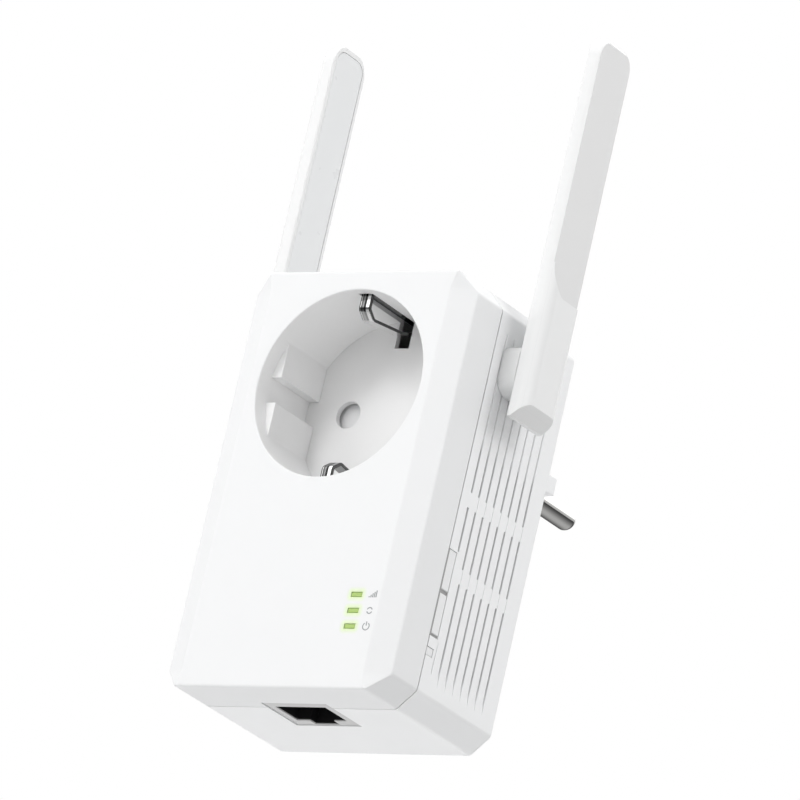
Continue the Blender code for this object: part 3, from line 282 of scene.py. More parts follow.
def loft(rings):
    """A closed solid through rings of points, all with as many points and running the same way round."""
    bm = bmesh.new()
    rows = [[bm.verts.new(point) for point in ring] for ring in rings]
    count = len(rows[0])
    for low, high in zip(rows, rows[1:]):
        for i in range(count):
            j = (i + 1) % count
            bm.faces.new((low[i], low[j], high[j], high[i]))
    bm.faces.new(list(reversed(rows[0])))
    bm.faces.new(rows[-1])
    bmesh.ops.remove_doubles(bm, verts=bm.verts, dist=0.002)
    bmesh.ops.recalc_face_normals(bm, faces=bm.faces)
    return bm


def prism(outline, low, high, axis="y"):
    """A flat outline given a thickness along one axis. Its two numbers are the other two axes, in order."""
    spots = {
        "x": lambda a, b, along: (along, a, b),
        "y": lambda a, b, along: (a, along, b),
        "z": lambda a, b, along: (a, b, along),
    }
    return loft([[spots[axis](a, b, along) for a, b in outline] for along in (low, high)])


def turned(profile, centre, axis, segments=96):
    """A profile of (along, radius) pairs turned about an axis through centre, and capped at its ends."""
    turn = Vector((0, 0, 1)).rotation_difference(Vector(axis)).to_matrix()
    rings = []
    for along, radius in profile:
        ring = []
        for k in range(segments):
            angle = 2 * math.pi * k / segments
            spot = Vector((radius * math.cos(angle), radius * math.sin(angle), along))
            ring.append(Vector(centre) + turn @ spot)
        rings.append(ring)
    return loft(rings)


def box(low, high, bevel=0.0, segments=2):
    bm = bmesh.new()
    size = [high[i] - low[i] for i in range(3)]
    middle = [(high[i] + low[i]) / 2 for i in range(3)]
    bmesh.ops.create_cube(bm, matrix=Matrix.Translation(middle) @ Matrix.Diagonal((*size, 1)))
    if bevel:
        edges = bm.edges[:]
        bmesh.ops.bevel(bm, geom=edges, offset=bevel, segments=segments, affect="EDGES", profile=0.5)
    return bm


def softened(bm, width, segments=2, least_angle=35):
    """Rounds every edge of a solid that is sharper than an angle."""
    least = math.radians(least_angle)
    edges = [e for e in bm.edges if len(e.link_faces) == 2 and e.calc_face_angle() > least]
    bmesh.ops.bevel(bm, geom=edges, offset=width, segments=segments, affect="EDGES", profile=0.5)
    return bm


def merged(*solids):
    """Several solids as one mesh."""
    whole = bmesh.new()
    for solid in solids:
        mesh = bpy.data.meshes.new("piece")
        solid.to_mesh(mesh)
        solid.free()
        whole.from_mesh(mesh)
        bpy.data.meshes.remove(mesh)
    return whole


def as_object(name, bm):
    bm.transform(TO_WORLD)
    mesh = bpy.data.meshes.new(name)
    bm.to_mesh(mesh)
    bm.free()
    obj = bpy.data.objects.new(name, mesh)
    bpy.context.scene.collection.objects.link(obj)
    return obj


def combine(obj, operation, *solids):
    """Joins solids to an object or cuts them from it, one after another."""
    for solid in solids:
        tool = as_object("tool", solid)
        step = obj.modifiers.new("shape", "BOOLEAN")
        step.operation = operation
        step.solver = "EXACT"
        step.object = tool
        settle(obj)
        bpy.data.objects.remove(tool)


def settle(obj):
    """Makes an object's modifiers part of its mesh."""
    bpy.context.view_layer.update()
    graph = bpy.context.evaluated_depsgraph_get()
    mesh = bpy.data.meshes.new_from_object(obj.evaluated_get(graph), depsgraph=graph)
    plain = obj.data
    obj.modifiers.clear()
    obj.data = mesh
    mesh.name = obj.name
    bpy.data.meshes.remove(plain)


def cut(obj, *solids):
    combine(obj, "DIFFERENCE", *solids)


def join(obj, *solids):
    combine(obj, "UNION", *solids)


def finished(obj, body, finish, replaced=(), sharp=32, edge=0.0):
    """Rounds the last edges, shades, paints and hangs a piece on its body."""
    if edge:
        rounding = obj.modifiers.new("edges", "BEVEL")
        rounding.width = edge * MM
        rounding.segments = 2
        rounding.limit_method = "ANGLE"
        rounding.angle_limit = math.radians(40)
        settle(obj)
    obj.data.shade_smooth()
    obj.data.set_sharp_from_angle(angle=math.radians(sharp))
    weights = obj.modifiers.new("normals", "WEIGHTED_NORMAL")
    weights.keep_sharp = True
    settle(obj)
    obj.data.materials.clear()
    obj.data.materials.append(finish)
    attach(obj, body)
    if replaced:
        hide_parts(*replaced)
    return obj


# ---------------------------------------------------------------- materials


def new_material(name):
    made = bpy.data.materials.new(name)
    made.use_nodes = True
    tree = made.node_tree
    return made, tree, tree.nodes["Principled BSDF"]


def place(tree):
    """Where a shaded point is, in metres."""
    return tree.nodes.new("ShaderNodeTexCoord").outputs["Object"]


def place_along(tree, axis):
    """One coordinate of where a shaded point is, in metres."""
    parts = tree.nodes.new("ShaderNodeSeparateXYZ")
    tree.links.new(place(tree), parts.inputs["Vector"])
    return parts.outputs[axis]


def reckoned(tree, operation, source, *values):
    """The result of a sum on a number. Each value is a number or another node's output."""
    step = tree.nodes.new("ShaderNodeMath")
    step.operation = operation
    for socket, value in zip(step.inputs, (source, *values)):
        if isinstance(value, (int, float)):
            socket.default_value = value
        else:
            tree.links.new(value, socket)
    return step.outputs["Value"]


def reckoned_vector(tree, operation, source, value=None):
    """The result of a sum on a vector: a vector, or a number for its length or a dot product."""
    step = tree.nodes.new("ShaderNodeVectorMath")
    step.operation = operation
    tree.links.new(source, step.inputs[0])
    if value is not None:
        step.inputs[1].default_value = value
    return step.outputs["Value" if operation in ("LENGTH", "DOT_PRODUCT") else "Vector"]


def colour_of(made):
    """A material's node tree, its main shader, and what feeds that shader's colour."""
    shader = made.node_tree.nodes["Principled BSDF"]
    return made.node_tree, shader, shader.inputs["Base Color"].links[0].from_socket


def noise(tree, scale, detail=3.0, stretch=None):
    """A noise pattern in the object's own space. Scale is repeats per metre."""
    pattern = tree.nodes.new("ShaderNodeTexNoise")
    pattern.inputs["Scale"].default_value = scale
    pattern.inputs["Detail"].default_value = detail
    source = place(tree)
    if stretch:
        mapping = tree.nodes.new("ShaderNodeMapping")
        mapping.inputs["Scale"].default_value = stretch
        tree.links.new(source, mapping.inputs["Vector"])
        source = mapping.outputs["Vector"]
    tree.links.new(source, pattern.inputs["Vector"])
    return pattern.outputs["Fac"]


def spread_over(tree, source, start, end, low=0.0, high=1.0, kind="LINEAR"):
    """A value's range from start to end, stretched over low to high."""
    spread = tree.nodes.new("ShaderNodeMapRange")
    spread.interpolation_type = kind
    spread.inputs["From Min"].default_value = start
    spread.inputs["From Max"].default_value = end
    spread.inputs["To Min"].default_value = low
    spread.inputs["To Max"].default_value = high
    tree.links.new(source, spread.inputs["Value"])
    return spread.outputs["Result"]


def ranged(tree, source, low, high):
    """A noise pattern's middle stretched over a range of values."""
    return spread_over(tree, source, 0.3, 0.7, low, high)


def mixed(tree, factor, first, second):
    """One colour where a mask is 0 and another where it is 1. Either may be a grey level or three parts."""
    mix = tree.nodes.new("ShaderNodeMix")
    mix.data_type = "RGBA"
    tree.links.new(factor, mix.inputs["Factor"])
    for socket, source in (("A", first), ("B", second)):
        if isinstance(source, float):
            mix.inputs[socket].default_value = (source, source, source, 1)
        elif isinstance(source, tuple):
            mix.inputs[socket].default_value = (*source, 1)
        else:
            tree.links.new(source, mix.inputs[socket])
    return mix.outputs["Result"]


def varied_colour(tree, source, colour, change):
    """A colour that is a little darker where a pattern is low."""
    return mixed(tree, source, tuple(part * (1 - change) for part in colour), colour)


def grained(tree, shader, scale, height, stretch=None):
    """A fine surface texture. Height is its depth in metres."""
    bump = tree.nodes.new("ShaderNodeBump")
    bump.inputs["Strength"].default_value = 1.0
    bump.inputs["Distance"].default_value = height
    tree.links.new(noise(tree, scale, 4.0, stretch), bump.inputs["Height"])
    tree.links.new(bump.outputs["Normal"], shader.inputs["Normal"])


def plastic(name, colour, roughness, grain=0.0000012, coat=0.0, change=0.012):
    """Moulded plastic: a faint spark-eroded texture, slightly uneven gloss and colour."""
    made, tree, shader = new_material(name)
    tree.links.new(varied_colour(tree, noise(tree, 90), colour, change), shader.inputs["Base Color"])
    gloss = ranged(tree, noise(tree, 260), roughness - 0.03, roughness + 0.03)
    tree.links.new(gloss, shader.inputs["Roughness"])
    shader.inputs["IOR"].default_value = 1.5
    shader.inputs["Coat Weight"].default_value = coat
    shader.inputs["Coat Roughness"].default_value = 0.08
    grained(tree, shader, 5200, grain)
    return made


def metal(name, colour, roughness, stretch=(1, 1, 1)):
    """Plated or drawn metal, with marks drawn out along one direction."""
    made, tree, shader = new_material(name)
    shader.inputs["Metallic"].default_value = 1.0
    tree.links.new(varied_colour(tree, noise(tree, 300), colour, 0.06), shader.inputs["Base Color"])
    source = noise(tree, METAL_GRAIN, 3.0, stretch)
    tree.links.new(ranged(tree, source, roughness * 0.7, roughness * 1.3), shader.inputs["Roughness"])
    grained(tree, shader, METAL_GRAIN, 0.0000008, stretch)
    return made


def face_mask(tree, axis, low, high, magnitude=False):
    """1 on faces that look along an axis and 0 on the others, with a soft change between."""
    surface = tree.nodes.new("ShaderNodeNewGeometry")
    along = reckoned_vector(tree, "DOT_PRODUCT", surface.outputs["Normal"], axis)
    if magnitude:
        along = reckoned(tree, "ABSOLUTE", along)
    return spread_over(tree, along, low, high)


def chrome_with_painted_light(name, leaf, root):
    """Chromed sheet with painted light: painted reflections as streaks down its nose, painted shade on its
    flanks, and a painted shadow beyond the height of its root, where it lies in its slot. Leaf is the grey of
    its other faces, itself painted reflection and shade.
    """
    made, tree, shader = new_material(name)
    edge = CLIP_HALF_WIDTH * MM
    across = spread_over(tree, place_along(tree, "X"), -edge, edge)
    painted_reflections = tree.nodes.new("ShaderNodeValToRGB")
    stops = painted_reflections.color_ramp.elements
    while len(stops) < len(NOSE_PAINTED_REFLECTIONS):
        stops.new(0.5)
    for stop, (spot, level) in zip(stops, NOSE_PAINTED_REFLECTIONS):
        stop.position = spot
        stop.color = (level, level, level, 1)
    tree.links.new(across, painted_reflections.inputs["Fac"])
    rise = reckoned(tree, "SUBTRACT", place_along(tree, "Z"), (TO_WORLD @ Vector((0, 0, SOCKET_RISE))).z)
    painted_slot_shadow = reckoned(tree, "GREATER_THAN", reckoned(tree, "ABSOLUTE", rise), root * MM)
    # Painted reflections on the nose, and the leaf's painted grey elsewhere
    colour = mixed(tree, face_mask(tree, (0, -1, 0), 0.35, 0.75), leaf, painted_reflections.outputs["Color"])
    # Painted shadow where the clip runs into its slot
    colour = mixed(tree, painted_slot_shadow, colour, 0.06)
    # Painted shade on the clip's flanks
    colour = mixed(tree, face_mask(tree, (1, 0, 0), 0.5, 0.8, magnitude=True), colour, 0.1)
    tree.links.new(colour, shader.inputs["Base Color"])
    shader.inputs["Metallic"].default_value = 1.0
    tree.links.new(ranged(tree, noise(tree, 1500), 0.08, 0.16), shader.inputs["Roughness"])
    return made


def blade_material():
    """Gloss plastic, greyer on the outer facet as painted shade."""
    made = plastic("antenna_plastic", (0.825, 0.828, 0.828), 0.22, grain=0.0000006, coat=0.3)
    tree, shader, plain = colour_of(made)
    across = reckoned(tree, "ABSOLUTE", place_along(tree, "X"))
    # Painted shade: the outer facet's plane gets a greyer colour
    facet_painted_shade = reckoned(tree, "COMPARE", across, FACET_X * MM, 0.012 * MM)
    tree.links.new(mixed(tree, facet_painted_shade, plain, 0.745), shader.inputs["Base Color"])
    return made


def board_material():
    """Green solder mask over a faint pattern of copper."""
    made, tree, shader = new_material("solder_mask")
    bricks = tree.nodes.new("ShaderNodeTexBrick")
    tree.links.new(place(tree), bricks.inputs["Vector"])
    bricks.inputs["Scale"].default_value = 160
    bricks.inputs["Mortar Size"].default_value = 0.03
    bricks.inputs["Color1"].default_value = (0.02, 0.16, 0.06, 1)
    bricks.inputs["Color2"].default_value = (0.02, 0.2, 0.07, 1)
    bricks.inputs["Mortar"].default_value = (0.08, 0.3, 0.12, 1)
    tree.links.new(bricks.outputs["Color"], shader.inputs["Base Color"])
    shader.inputs["Roughness"].default_value = 0.35
    grained(tree, shader, 900, 0.000005)
    return made


def lamp_material(name, colour, glow):
    """A tinted lens lit from behind, faintly uneven."""
    made, tree, shader = new_material(name)
    shade = varied_colour(tree, noise(tree, 700), colour, 0.15)
    tree.links.new(shade, shader.inputs["Base Color"])
    tree.links.new(shade, shader.inputs["Emission Color"])
    shader.inputs["Emission Strength"].default_value = glow
    shader.inputs["Roughness"].default_value = 0.3
    grained(tree, shader, 3000, 0.000002)
    return made


def jack_material():
    """Grey plastic at the jack's mouth and black a little way up inside it."""
    made = plastic("jack_plastic", (0.6, 0.6, 0.6), 0.42)
    tree, shader, plain = colour_of(made)
    black_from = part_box("ethernet_jack")[0].z + 0.25 * MM
    inside = reckoned(tree, "GREATER_THAN", place_along(tree, "Z"), black_from)
    tree.links.new(mixed(tree, inside, plain, (0.012, 0.012, 0.013)), shader.inputs["Base Color"])
    return made


def distance_from_window(tree, node):
    """How far a shaded point is from a light window's edge, in metres."""
    low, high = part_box(node)
    half = Vector((LIGHT_HALF_WIDTH * MM, 1.0, LIGHT_HALF_HEIGHT * MM))
    away = reckoned_vector(tree, "SUBTRACT", place(tree), (low + high) / 2)
    away = reckoned_vector(tree, "ABSOLUTE", away)
    away = reckoned_vector(tree, "SUBTRACT", away, half)
    away = reckoned_vector(tree, "MAXIMUM", away, (0, 0, 0))
    return reckoned_vector(tree, "LENGTH", away)


def front_material():
    """The cover's plastic, a little darker than the rear housing's as painted shade; paler in the recess as
    painted light, and painted green light round each light window, where light leaks in.
    """
    # A little darker than the rear housing's white: painted shade on the cover
    made = plastic("front_plastic", (0.83, 0.835, 0.84), 0.36)
    tree, shader, shade = colour_of(made)
    from_axis = reckoned_vector(tree, "SUBTRACT", place(tree), TO_WORLD @ Vector((0, 0, SOCKET_RISE)))
    radius = reckoned_vector(tree, "LENGTH", reckoned_vector(tree, "MULTIPLY", from_axis, (1, 0, 1)))
    # Painted light: paler inside the recess
    recess_painted_light = reckoned(tree, "LESS_THAN", radius, (SOCKET_RADIUS + 0.03) * MM)
    shade = mixed(tree, recess_painted_light, shade, 0.92)
    first, *others = [distance_from_window(tree, node) for node in light_nodes()]
    nearest = first
    for distance in others:
        nearest = reckoned(tree, "MINIMUM", nearest, distance)
    # Painted green light round the light windows
    glow = spread_over(tree, nearest, 0.0, GLOW_REACH * MM, 0.75, 0.0, "SMOOTHSTEP")
    tree.links.new(mixed(tree, glow, shade, (0.70, 0.86, 0.42)), shader.inputs["Base Color"])
    return made


def light_nodes():
    return [name for name in sorted(NODES) if name.startswith("light_pipe")]


FRONT_PLASTIC = front_material()
WHITE = plastic("white_plastic", (0.895, 0.9, 0.905), 0.38)
SHADED_WHITE = plastic("socket_plastic", (0.79, 0.79, 0.79), 0.4)
# A darker copy of the white plastic for the knuckles: painted shade, where they sit between wall and antenna
HINGE_SHADED_WHITE = plastic("hinge_plastic_painted_shade", (0.765, 0.77, 0.77), 0.34)
KEY_WHITE = plastic("key_plastic", (0.84, 0.845, 0.85), 0.34)
GLOSS_WHITE = blade_material()
INLAY_WHITE = plastic("inlay_plastic", (0.82, 0.83, 0.835), 0.3, grain=0.000001)
GREY = jack_material()
BLACK = plastic("black_plastic", (0.02, 0.02, 0.022), 0.45, change=0.2)
# Grey for the painted shade in the gaps beside the keys
GAP_SHADE_GREY = plastic("painted_gap_shade", (0.36, 0.36, 0.36), 0.6, change=0.1)
PRINT = plastic("printed_mark", (0.3, 0.31, 0.32), 0.5, change=0.05)
STEEL = metal("bright_steel", (0.78, 0.78, 0.79), 0.12, (1, 6, 1))
NICKEL = metal("nickel_plate", (0.93, 0.925, 0.91), 0.09, (5, 1, 5))
BRASS = metal("brass", (0.8, 0.62, 0.32), 0.28)
BOARD = board_material()
LAMP = lamp_material("light_lens", (0.40, 0.56, 0.16), 0.1)

SLOT_FINISH = {
    "white_plastic": SHADED_WHITE,
    "gloss_white_plastic": GLOSS_WHITE,
    "grey_plastic": GREY,
    "black_plastic": BLACK,
    "bright_steel": STEEL,
    "nickel_plate": NICKEL,
    "brass": BRASS,
    "circuit_board": BOARD,
    "green_light": LAMP,
}


def paint_frame():
    """Every CAD node takes the finish of its slot, so that the ones still shown look real."""
    for entry in frame["record"]["subparts"]:
        node = NODES[entry["node"]]
        node.data.materials.clear()
        node.data.materials.append(SLOT_FINISH[entry["material_slot"]])


# ---------------------------------------------------------------- front cover


def face_limit(z):
    """Half the width of the flat front at a height: it widens to meet the cut corners."""
    climb = min(max((abs(z) - HALF_HEIGHT + CORNER_CUT) / CORNER_CUT, 0), 1)
    return FACE_HALF_WIDTH + (HALF_WIDTH - CORNER_CUT - FACE_HALF_WIDTH) * climb**2


def front_rings():
    """Rings of the front cover from the edge of its flat face, over its side bevels, back to the split."""
    lines = []
    for x, z in body_outline():
        rise = min(max((abs(x) - HALF_WIDTH + CORNER_CUT) / CORNER_CUT, 0), 1)
        side = math.copysign(1, x)
        up = math.copysign(1, z)
        face_x = side * min(abs(x) - EDGE * (1 - rise), face_limit(z))
        face_z = up * min(abs(z), HALF_HEIGHT - EDGE)
        bevel_y = EDGE + (SIDE_BEVEL_DEPTH - EDGE) * rise
        inside = 0.96
        line = [
            (face_x * inside, 0, face_z * inside),
            (face_x, 0, face_z),
            (x, bevel_y, z),
            (x, SPLIT_FRONT - LIP, z),
            (x - side * LIP * rise, SPLIT_FRONT, z - up * LIP * (1 - rise)),
        ]
        lines.append(eased(line[:4], 0.4, 4) + [Vector(line[4])])
    return [list(ring) for ring in zip(*lines)]


def rib_outline(side, up):
    """One guide rib of the outlet: flat inner face, flat slot side, and a round back in the tube's wall."""
    outer = SOCKET_RADIUS + 0.8
    slot = RIB_SLOT / 2
    first = math.asin(slot / outer)
    last = math.acos(RIB_HALF_SPACING / outer)
    arc = [first + (last - first) * k / 10 for k in range(11)]
    corners = [(RIB_HALF_SPACING, slot)] + [(outer * math.cos(a), outer * math.sin(a)) for a in arc]
    return [(side * x, SOCKET_RISE + up * z) for x, z in corners]


def clip_slots(start, end, inner, outer):
    """Boxes for the earth clips' slots, above and below the outlet's centre."""
    half = CLIP_SLOT_WIDTH / 2
    return merged(
        box((-half, start, SOCKET_RISE + inner), (half, end, SOCKET_RISE + outer)),
        box((-half, start, SOCKET_RISE - outer), (half, end, SOCKET_RISE - inner)),
    )


def make_front_cover():
    cover = as_object("front_shell", loft(front_rings()))
    cut(cover, prism(body_outline(WALL + 0.4), SIDE_BEVEL_DEPTH + 1.4, SPLIT_FRONT + 1))
    socket_centre = (0, 0, SOCKET_RISE)
    join(cover, turned([(1.0, TUBE_RADIUS), (TUBE_END, TUBE_RADIUS)], socket_centre, (0, 1, 0)))
    lip = 0.3
    lip_arc = [(lip * (1 - math.cos(a)), lip * (1 - math.sin(a))) for a in (0, 0.52, 1.05, 1.57)]
    bore = [(-1, SOCKET_RADIUS + lip)] + [(along, SOCKET_RADIUS + more) for along, more in lip_arc]
    bore.append((SOCKET_DEPTH + 2, SOCKET_RADIUS))
    cut(cover, turned(bore, socket_centre, (0, 1, 0), 128))
    for side in (-1, 1):
        for up in (-1, 1):
            rib = prism(rib_outline(side, up), RIB_START, TUBE_END)
            join(cover, softened(rib, 0.12, 2, 60))
    cut(cover, clip_slots(2.2, SOCKET_DEPTH + 1, 18.0, 22.1))
    for node in light_nodes():
        low, high = extent(node)
        middle = (low + high) / 2
        grow = 0.11
        window_low = (middle.x - LIGHT_HALF_WIDTH - grow, -1, middle.z - LIGHT_HALF_HEIGHT - grow)
        window_high = (middle.x + LIGHT_HALF_WIDTH + grow, 5, middle.z + LIGHT_HALF_HEIGHT + grow)
        cut(cover, box(window_low, window_high))
    gap = 0.2
    jack_low = (JACK_LOW.x - gap, JACK_LOW.y - gap, -HALF_HEIGHT - 1)
    cut(cover, box(jack_low, (JACK_HIGH.x + gap, SPLIT_FRONT + 1, -HALF_HEIGHT + 3)))
    finished(cover, "housing", FRONT_PLASTIC, ["front_cover"])


# ---------------------------------------------------------------- rear housing


def rear_rings():
    """Rings of the rear housing: a tiny round at the split and a larger one round the back."""
    rings = [
        [(x, SPLIT_BACK, z) for x, z in body_outline(LIP)],
        [(x, SPLIT_BACK + LIP, z) for x, z in body_outline()],
    ]
    steps = 7
    for k in range(steps + 1):
        angle = math.pi / 2 * k / steps
        y = BODY_DEPTH - BACK_ROUND + BACK_ROUND * math.sin(angle)
        inset = BACK_ROUND * (1 - math.cos(angle))
        rings.append([(x, y, z) for x, z in body_outline(inset)])
    return rings


def vent_cutter(side, middle, profile):
    """One vent slot or groove. Its profile runs down the wall as pairs of a height and a depth there."""
    outline = [(side * (HALF_WIDTH + 1), profile[-1][0]), (side * (HALF_WIDTH + 1), profile[0][0])]
    outline += [(side * (HALF_WIDTH - depth), rise) for rise, depth in profile]
    half = VENT_WIDTH / 2
    return prism(outline, middle - half, middle + half, "y")


def vent_slots():
    """All vent slots of both side walls. The first slot on the right gives way to the keys."""
    keys_top = extent("power_button")[1].z + 0.1
    through = 2.6
    shallow = 0.1
    top_row = [(36.6, 0.02), (36.0, 0.2), (34.5, 0.3), (13.5, 0.38), (11.8, 0.7)]
    top_row += [(10.6, through), (2.5, through)]
    middle_row = [(2.5, shallow), (-0.6, shallow), (-0.6, through), (-12.8, through)]
    bottom_row = [(-12.8, shallow), (-15.85, shallow), (-15.85, through), (-32.3, through), (-33.2, 1.1)]
    bottom_row += [(-34.2, 0.55), (-35.4, 0.27), (-36.6, 0.1), (-37.6, 0.01)]
    slots = []
    for side in (-1, 1):
        for i in range(VENT_COUNT):
            middle = VENT_START + i * VENT_PITCH
            profiles = [top_row + middle_row + bottom_row]
            if i == 0 and side > 0:
                above_keys = [(-0.6, through), (keys_top, through)]
                below_keys = [(-29.0, 0.02), (-30.0, 0.15), (-34.8, 0.25), (-36.2, 0.02)]
                profiles = [top_row, above_keys, below_keys]
            slots += [vent_cutter(side, middle, profile) for profile in profiles]
    return slots


def key_windows():
    """The openings in the right wall for the three keys."""
    gap = 0.08
    root = HALF_WIDTH - 4
    beyond = HALF_WIDTH + 1
    power_high = extent("power_button")[1]
    pairing_low = extent("pairing_button")[0]
    reset_low, reset_high = extent("reset_button")
    long_low = (root, SPLIT_BACK - 1, pairing_low.z + KEY_FOOT - 0.6)
    long_high = (beyond, power_high.y - KEY_FRAME + gap, power_high.z - KEY_FOOT + gap)
    small_low = (root, reset_low.y - gap, reset_low.z + KEY_FOOT - gap)
    small_high = (beyond, reset_high.y - KEY_FRAME + gap, reset_high.z - KEY_FOOT + gap)
    return [box(long_low, long_high), box(small_low, small_high)]


def make_rear_housing():
    housing = as_object("rear_shell", loft(rear_rings()))
    cut(housing, prism(body_outline(WALL), SPLIT_BACK - 1, BODY_DEPTH - WALL))
    for screw in sorted(name for name in NODES if name.startswith("case_screw")):
        low, high = extent(screw)
        centre = ((low.x + high.x) / 2, 0, (low.z + high.z) / 2)
        join(housing, turned([(12.2, 3.2), (BODY_DEPTH - 0.8, 3.2)], centre, (0, 1, 0), 32))
        mouth = 0.25
        well = [(14.5, 2.3), (BODY_DEPTH - mouth, 2.3)]
        well += [(BODY_DEPTH, 2.3 + mouth), (BODY_DEPTH + 1, 2.3 + mouth)]
        cut(housing, turned(well, centre, (0, 1, 0), 40))
        cut(housing, turned([(11, 1.35), (16, 1.35)], centre, (0, 1, 0), 24))
    cut(housing, merged(*vent_slots()))
    plug_centre = (0, 0, PLUG_RISE)
    cut(housing, turned([(BODY_DEPTH - WALL - 1, 14.3), (BODY_DEPTH + 1, 14.3)], plug_centre, (0, 1, 0), 64))
    for name in ("top", "bottom"):
        low, high = extent(f"plug_earth_strip_{name}")
        grow = 0.4
        slot_low = (low.x - grow, BODY_DEPTH - WALL - 1, low.z - grow)
        cut(housing, box(slot_low, (high.x + grow, BODY_DEPTH + 1, high.z + grow)))
    hinge_centre = (0, HINGE_DEPTH, HINGE_RISE)
    cut(housing, turned([(-HALF_WIDTH - 2, 3.1), (HALF_WIDTH + 2, 3.1)], hinge_centre, (1, 0, 0), 40))
    cut(housing, *key_windows())
    gap = 0.2
    jack_high = (JACK_HIGH.x + gap, JACK_HIGH.y + gap, -HALF_HEIGHT + 3)
    cut(housing, box((JACK_LOW.x - gap, SPLIT_BACK - 1, -HALF_HEIGHT - 1), jack_high))
    finished(housing, "housing", WHITE, ["rear_housing"])


# ---------------------------------------------------------------- outlet


def make_socket():
    centre = (0, 0, SOCKET_RISE)
    disc = turned([(FLOOR_LOW.y, TUBE_RADIUS), (FLOOR_HIGH.y, TUBE_RADIUS)], centre, (0, 1, 0))
    floor = as_object("outlet_floor", disc)
    lip = 0.25
    start = FLOOR_LOW.y
    for side in (-1, 1):
        hole = [
            (start - 1, CONTACT_HOLE_RADIUS + lip),
            (start, CONTACT_HOLE_RADIUS + lip),
            (start + lip * 0.3, CONTACT_HOLE_RADIUS + lip * 0.3),
            (start + lip, CONTACT_HOLE_RADIUS),
            (start + 5, CONTACT_HOLE_RADIUS),
        ]
        cut(floor, turned(hole, (side * CONTACT_X, 0, SOCKET_RISE), (0, 1, 0), 64))
    cut(floor, clip_slots(SOCKET_DEPTH - 1, SOCKET_DEPTH + 4, 14.3, 23))
    finished(floor, "housing", SHADED_WHITE, ["socket_floor"])
    make_shutter()
    make_earth_clips()


def make_shutter():
    """The blade behind the contact holes: a round lobe behind each hole, a web and a hub."""
    low, high = extent("socket_shutter")
    front = low.y + 0.5
    back = high.y - 0.1
    lobe = high.x - CONTACT_X - 0.02
    web = 2.6
    hub = 3.6
    bore = 1.7
    centre = (0, 0, SOCKET_RISE)
    web_box = box((-CONTACT_X, front, SOCKET_RISE - web), (CONTACT_X, back, SOCKET_RISE + web))
    blade = as_object("shutter_blade", web_box)
    for side in (-1, 1):
        join(blade, turned([(front, lobe), (back, lobe)], (side * CONTACT_X, 0, SOCKET_RISE), (0, 1, 0), 48))
    join(blade, turned([(front, hub), (high.y, hub)], centre, (0, 1, 0), 48))
    cut(blade, turned([(front - 1, bore), (high.y + 1, bore)], centre, (0, 1, 0), 32))
    finished(blade, "shutter", WHITE, ["socket_shutter"])


def make_earth_clips():
    """Sprung earth leaves with rounded bends, one above and one below the outlet's centre."""
    # Each leaf's grey is painted reflection and shade: bright on the top clip, dark on the bottom one
    for name, up, leaf in (("bottom", -1, 0.3), ("top", 1, 0.95)):
        corners = [(24.0, 20.9), (3.1, 20.9), (3.1, 17.0), (5.2, 15.4), (15.0, 16.6), (21.5, 18.6)]
        profile = rounded(corners, 0.9, 8, closed=False)
        bm = bmesh.new()
        rows = []
        for edge in (-CLIP_HALF_WIDTH, CLIP_HALF_WIDTH):
            rows.append([bm.verts.new((edge, y, SOCKET_RISE + up * z)) for y, z in profile])
        for i in range(len(profile) - 1):
            bm.faces.new((rows[0][i], rows[0][i + 1], rows[1][i + 1], rows[1][i]))
        clip = as_object(f"clip_leaf_{name}", bm)
        shell = clip.modifiers.new("thickness", "SOLIDIFY")
        shell.thickness = 0.7 * MM
        shell.offset = 0
        shell.use_even_offset = True
        settle(clip)
        chrome = chrome_with_painted_light(f"clip_chrome_{name}", leaf, 20.2)
        finished(clip, "housing", chrome, [f"earth_clip_{name}"], sharp=40, edge=0.12)


# ---------------------------------------------------------------- plug


def plug_outline():
    """A round plug body with a flat notch and a narrow key at each side."""
    steps = 16
    notch = math.sqrt(PLUG_RADIUS**2 - PLUG_FLAT**2)
    first = math.asin((notch + 1.6) / PLUG_RADIUS)
    key = PLUG_KEY_WIDTH / 2
    quarter = [(PLUG_RADIUS, key), (PLUG_FLAT, key), (PLUG_FLAT, notch + 1.0)]
    for k in range(steps + 1):
        angle = first + (math.pi / 2 - first) * k / steps
        quarter.append((PLUG_RADIUS * math.cos(angle), PLUG_RADIUS * math.sin(angle)))
    half = quarter + [(-x, z) for x, z in reversed(quarter[:-1])]
    whole = half + [(x, -z) for x, z in reversed(half)]
    return [(x, PLUG_RISE + z) for x, z in whole]


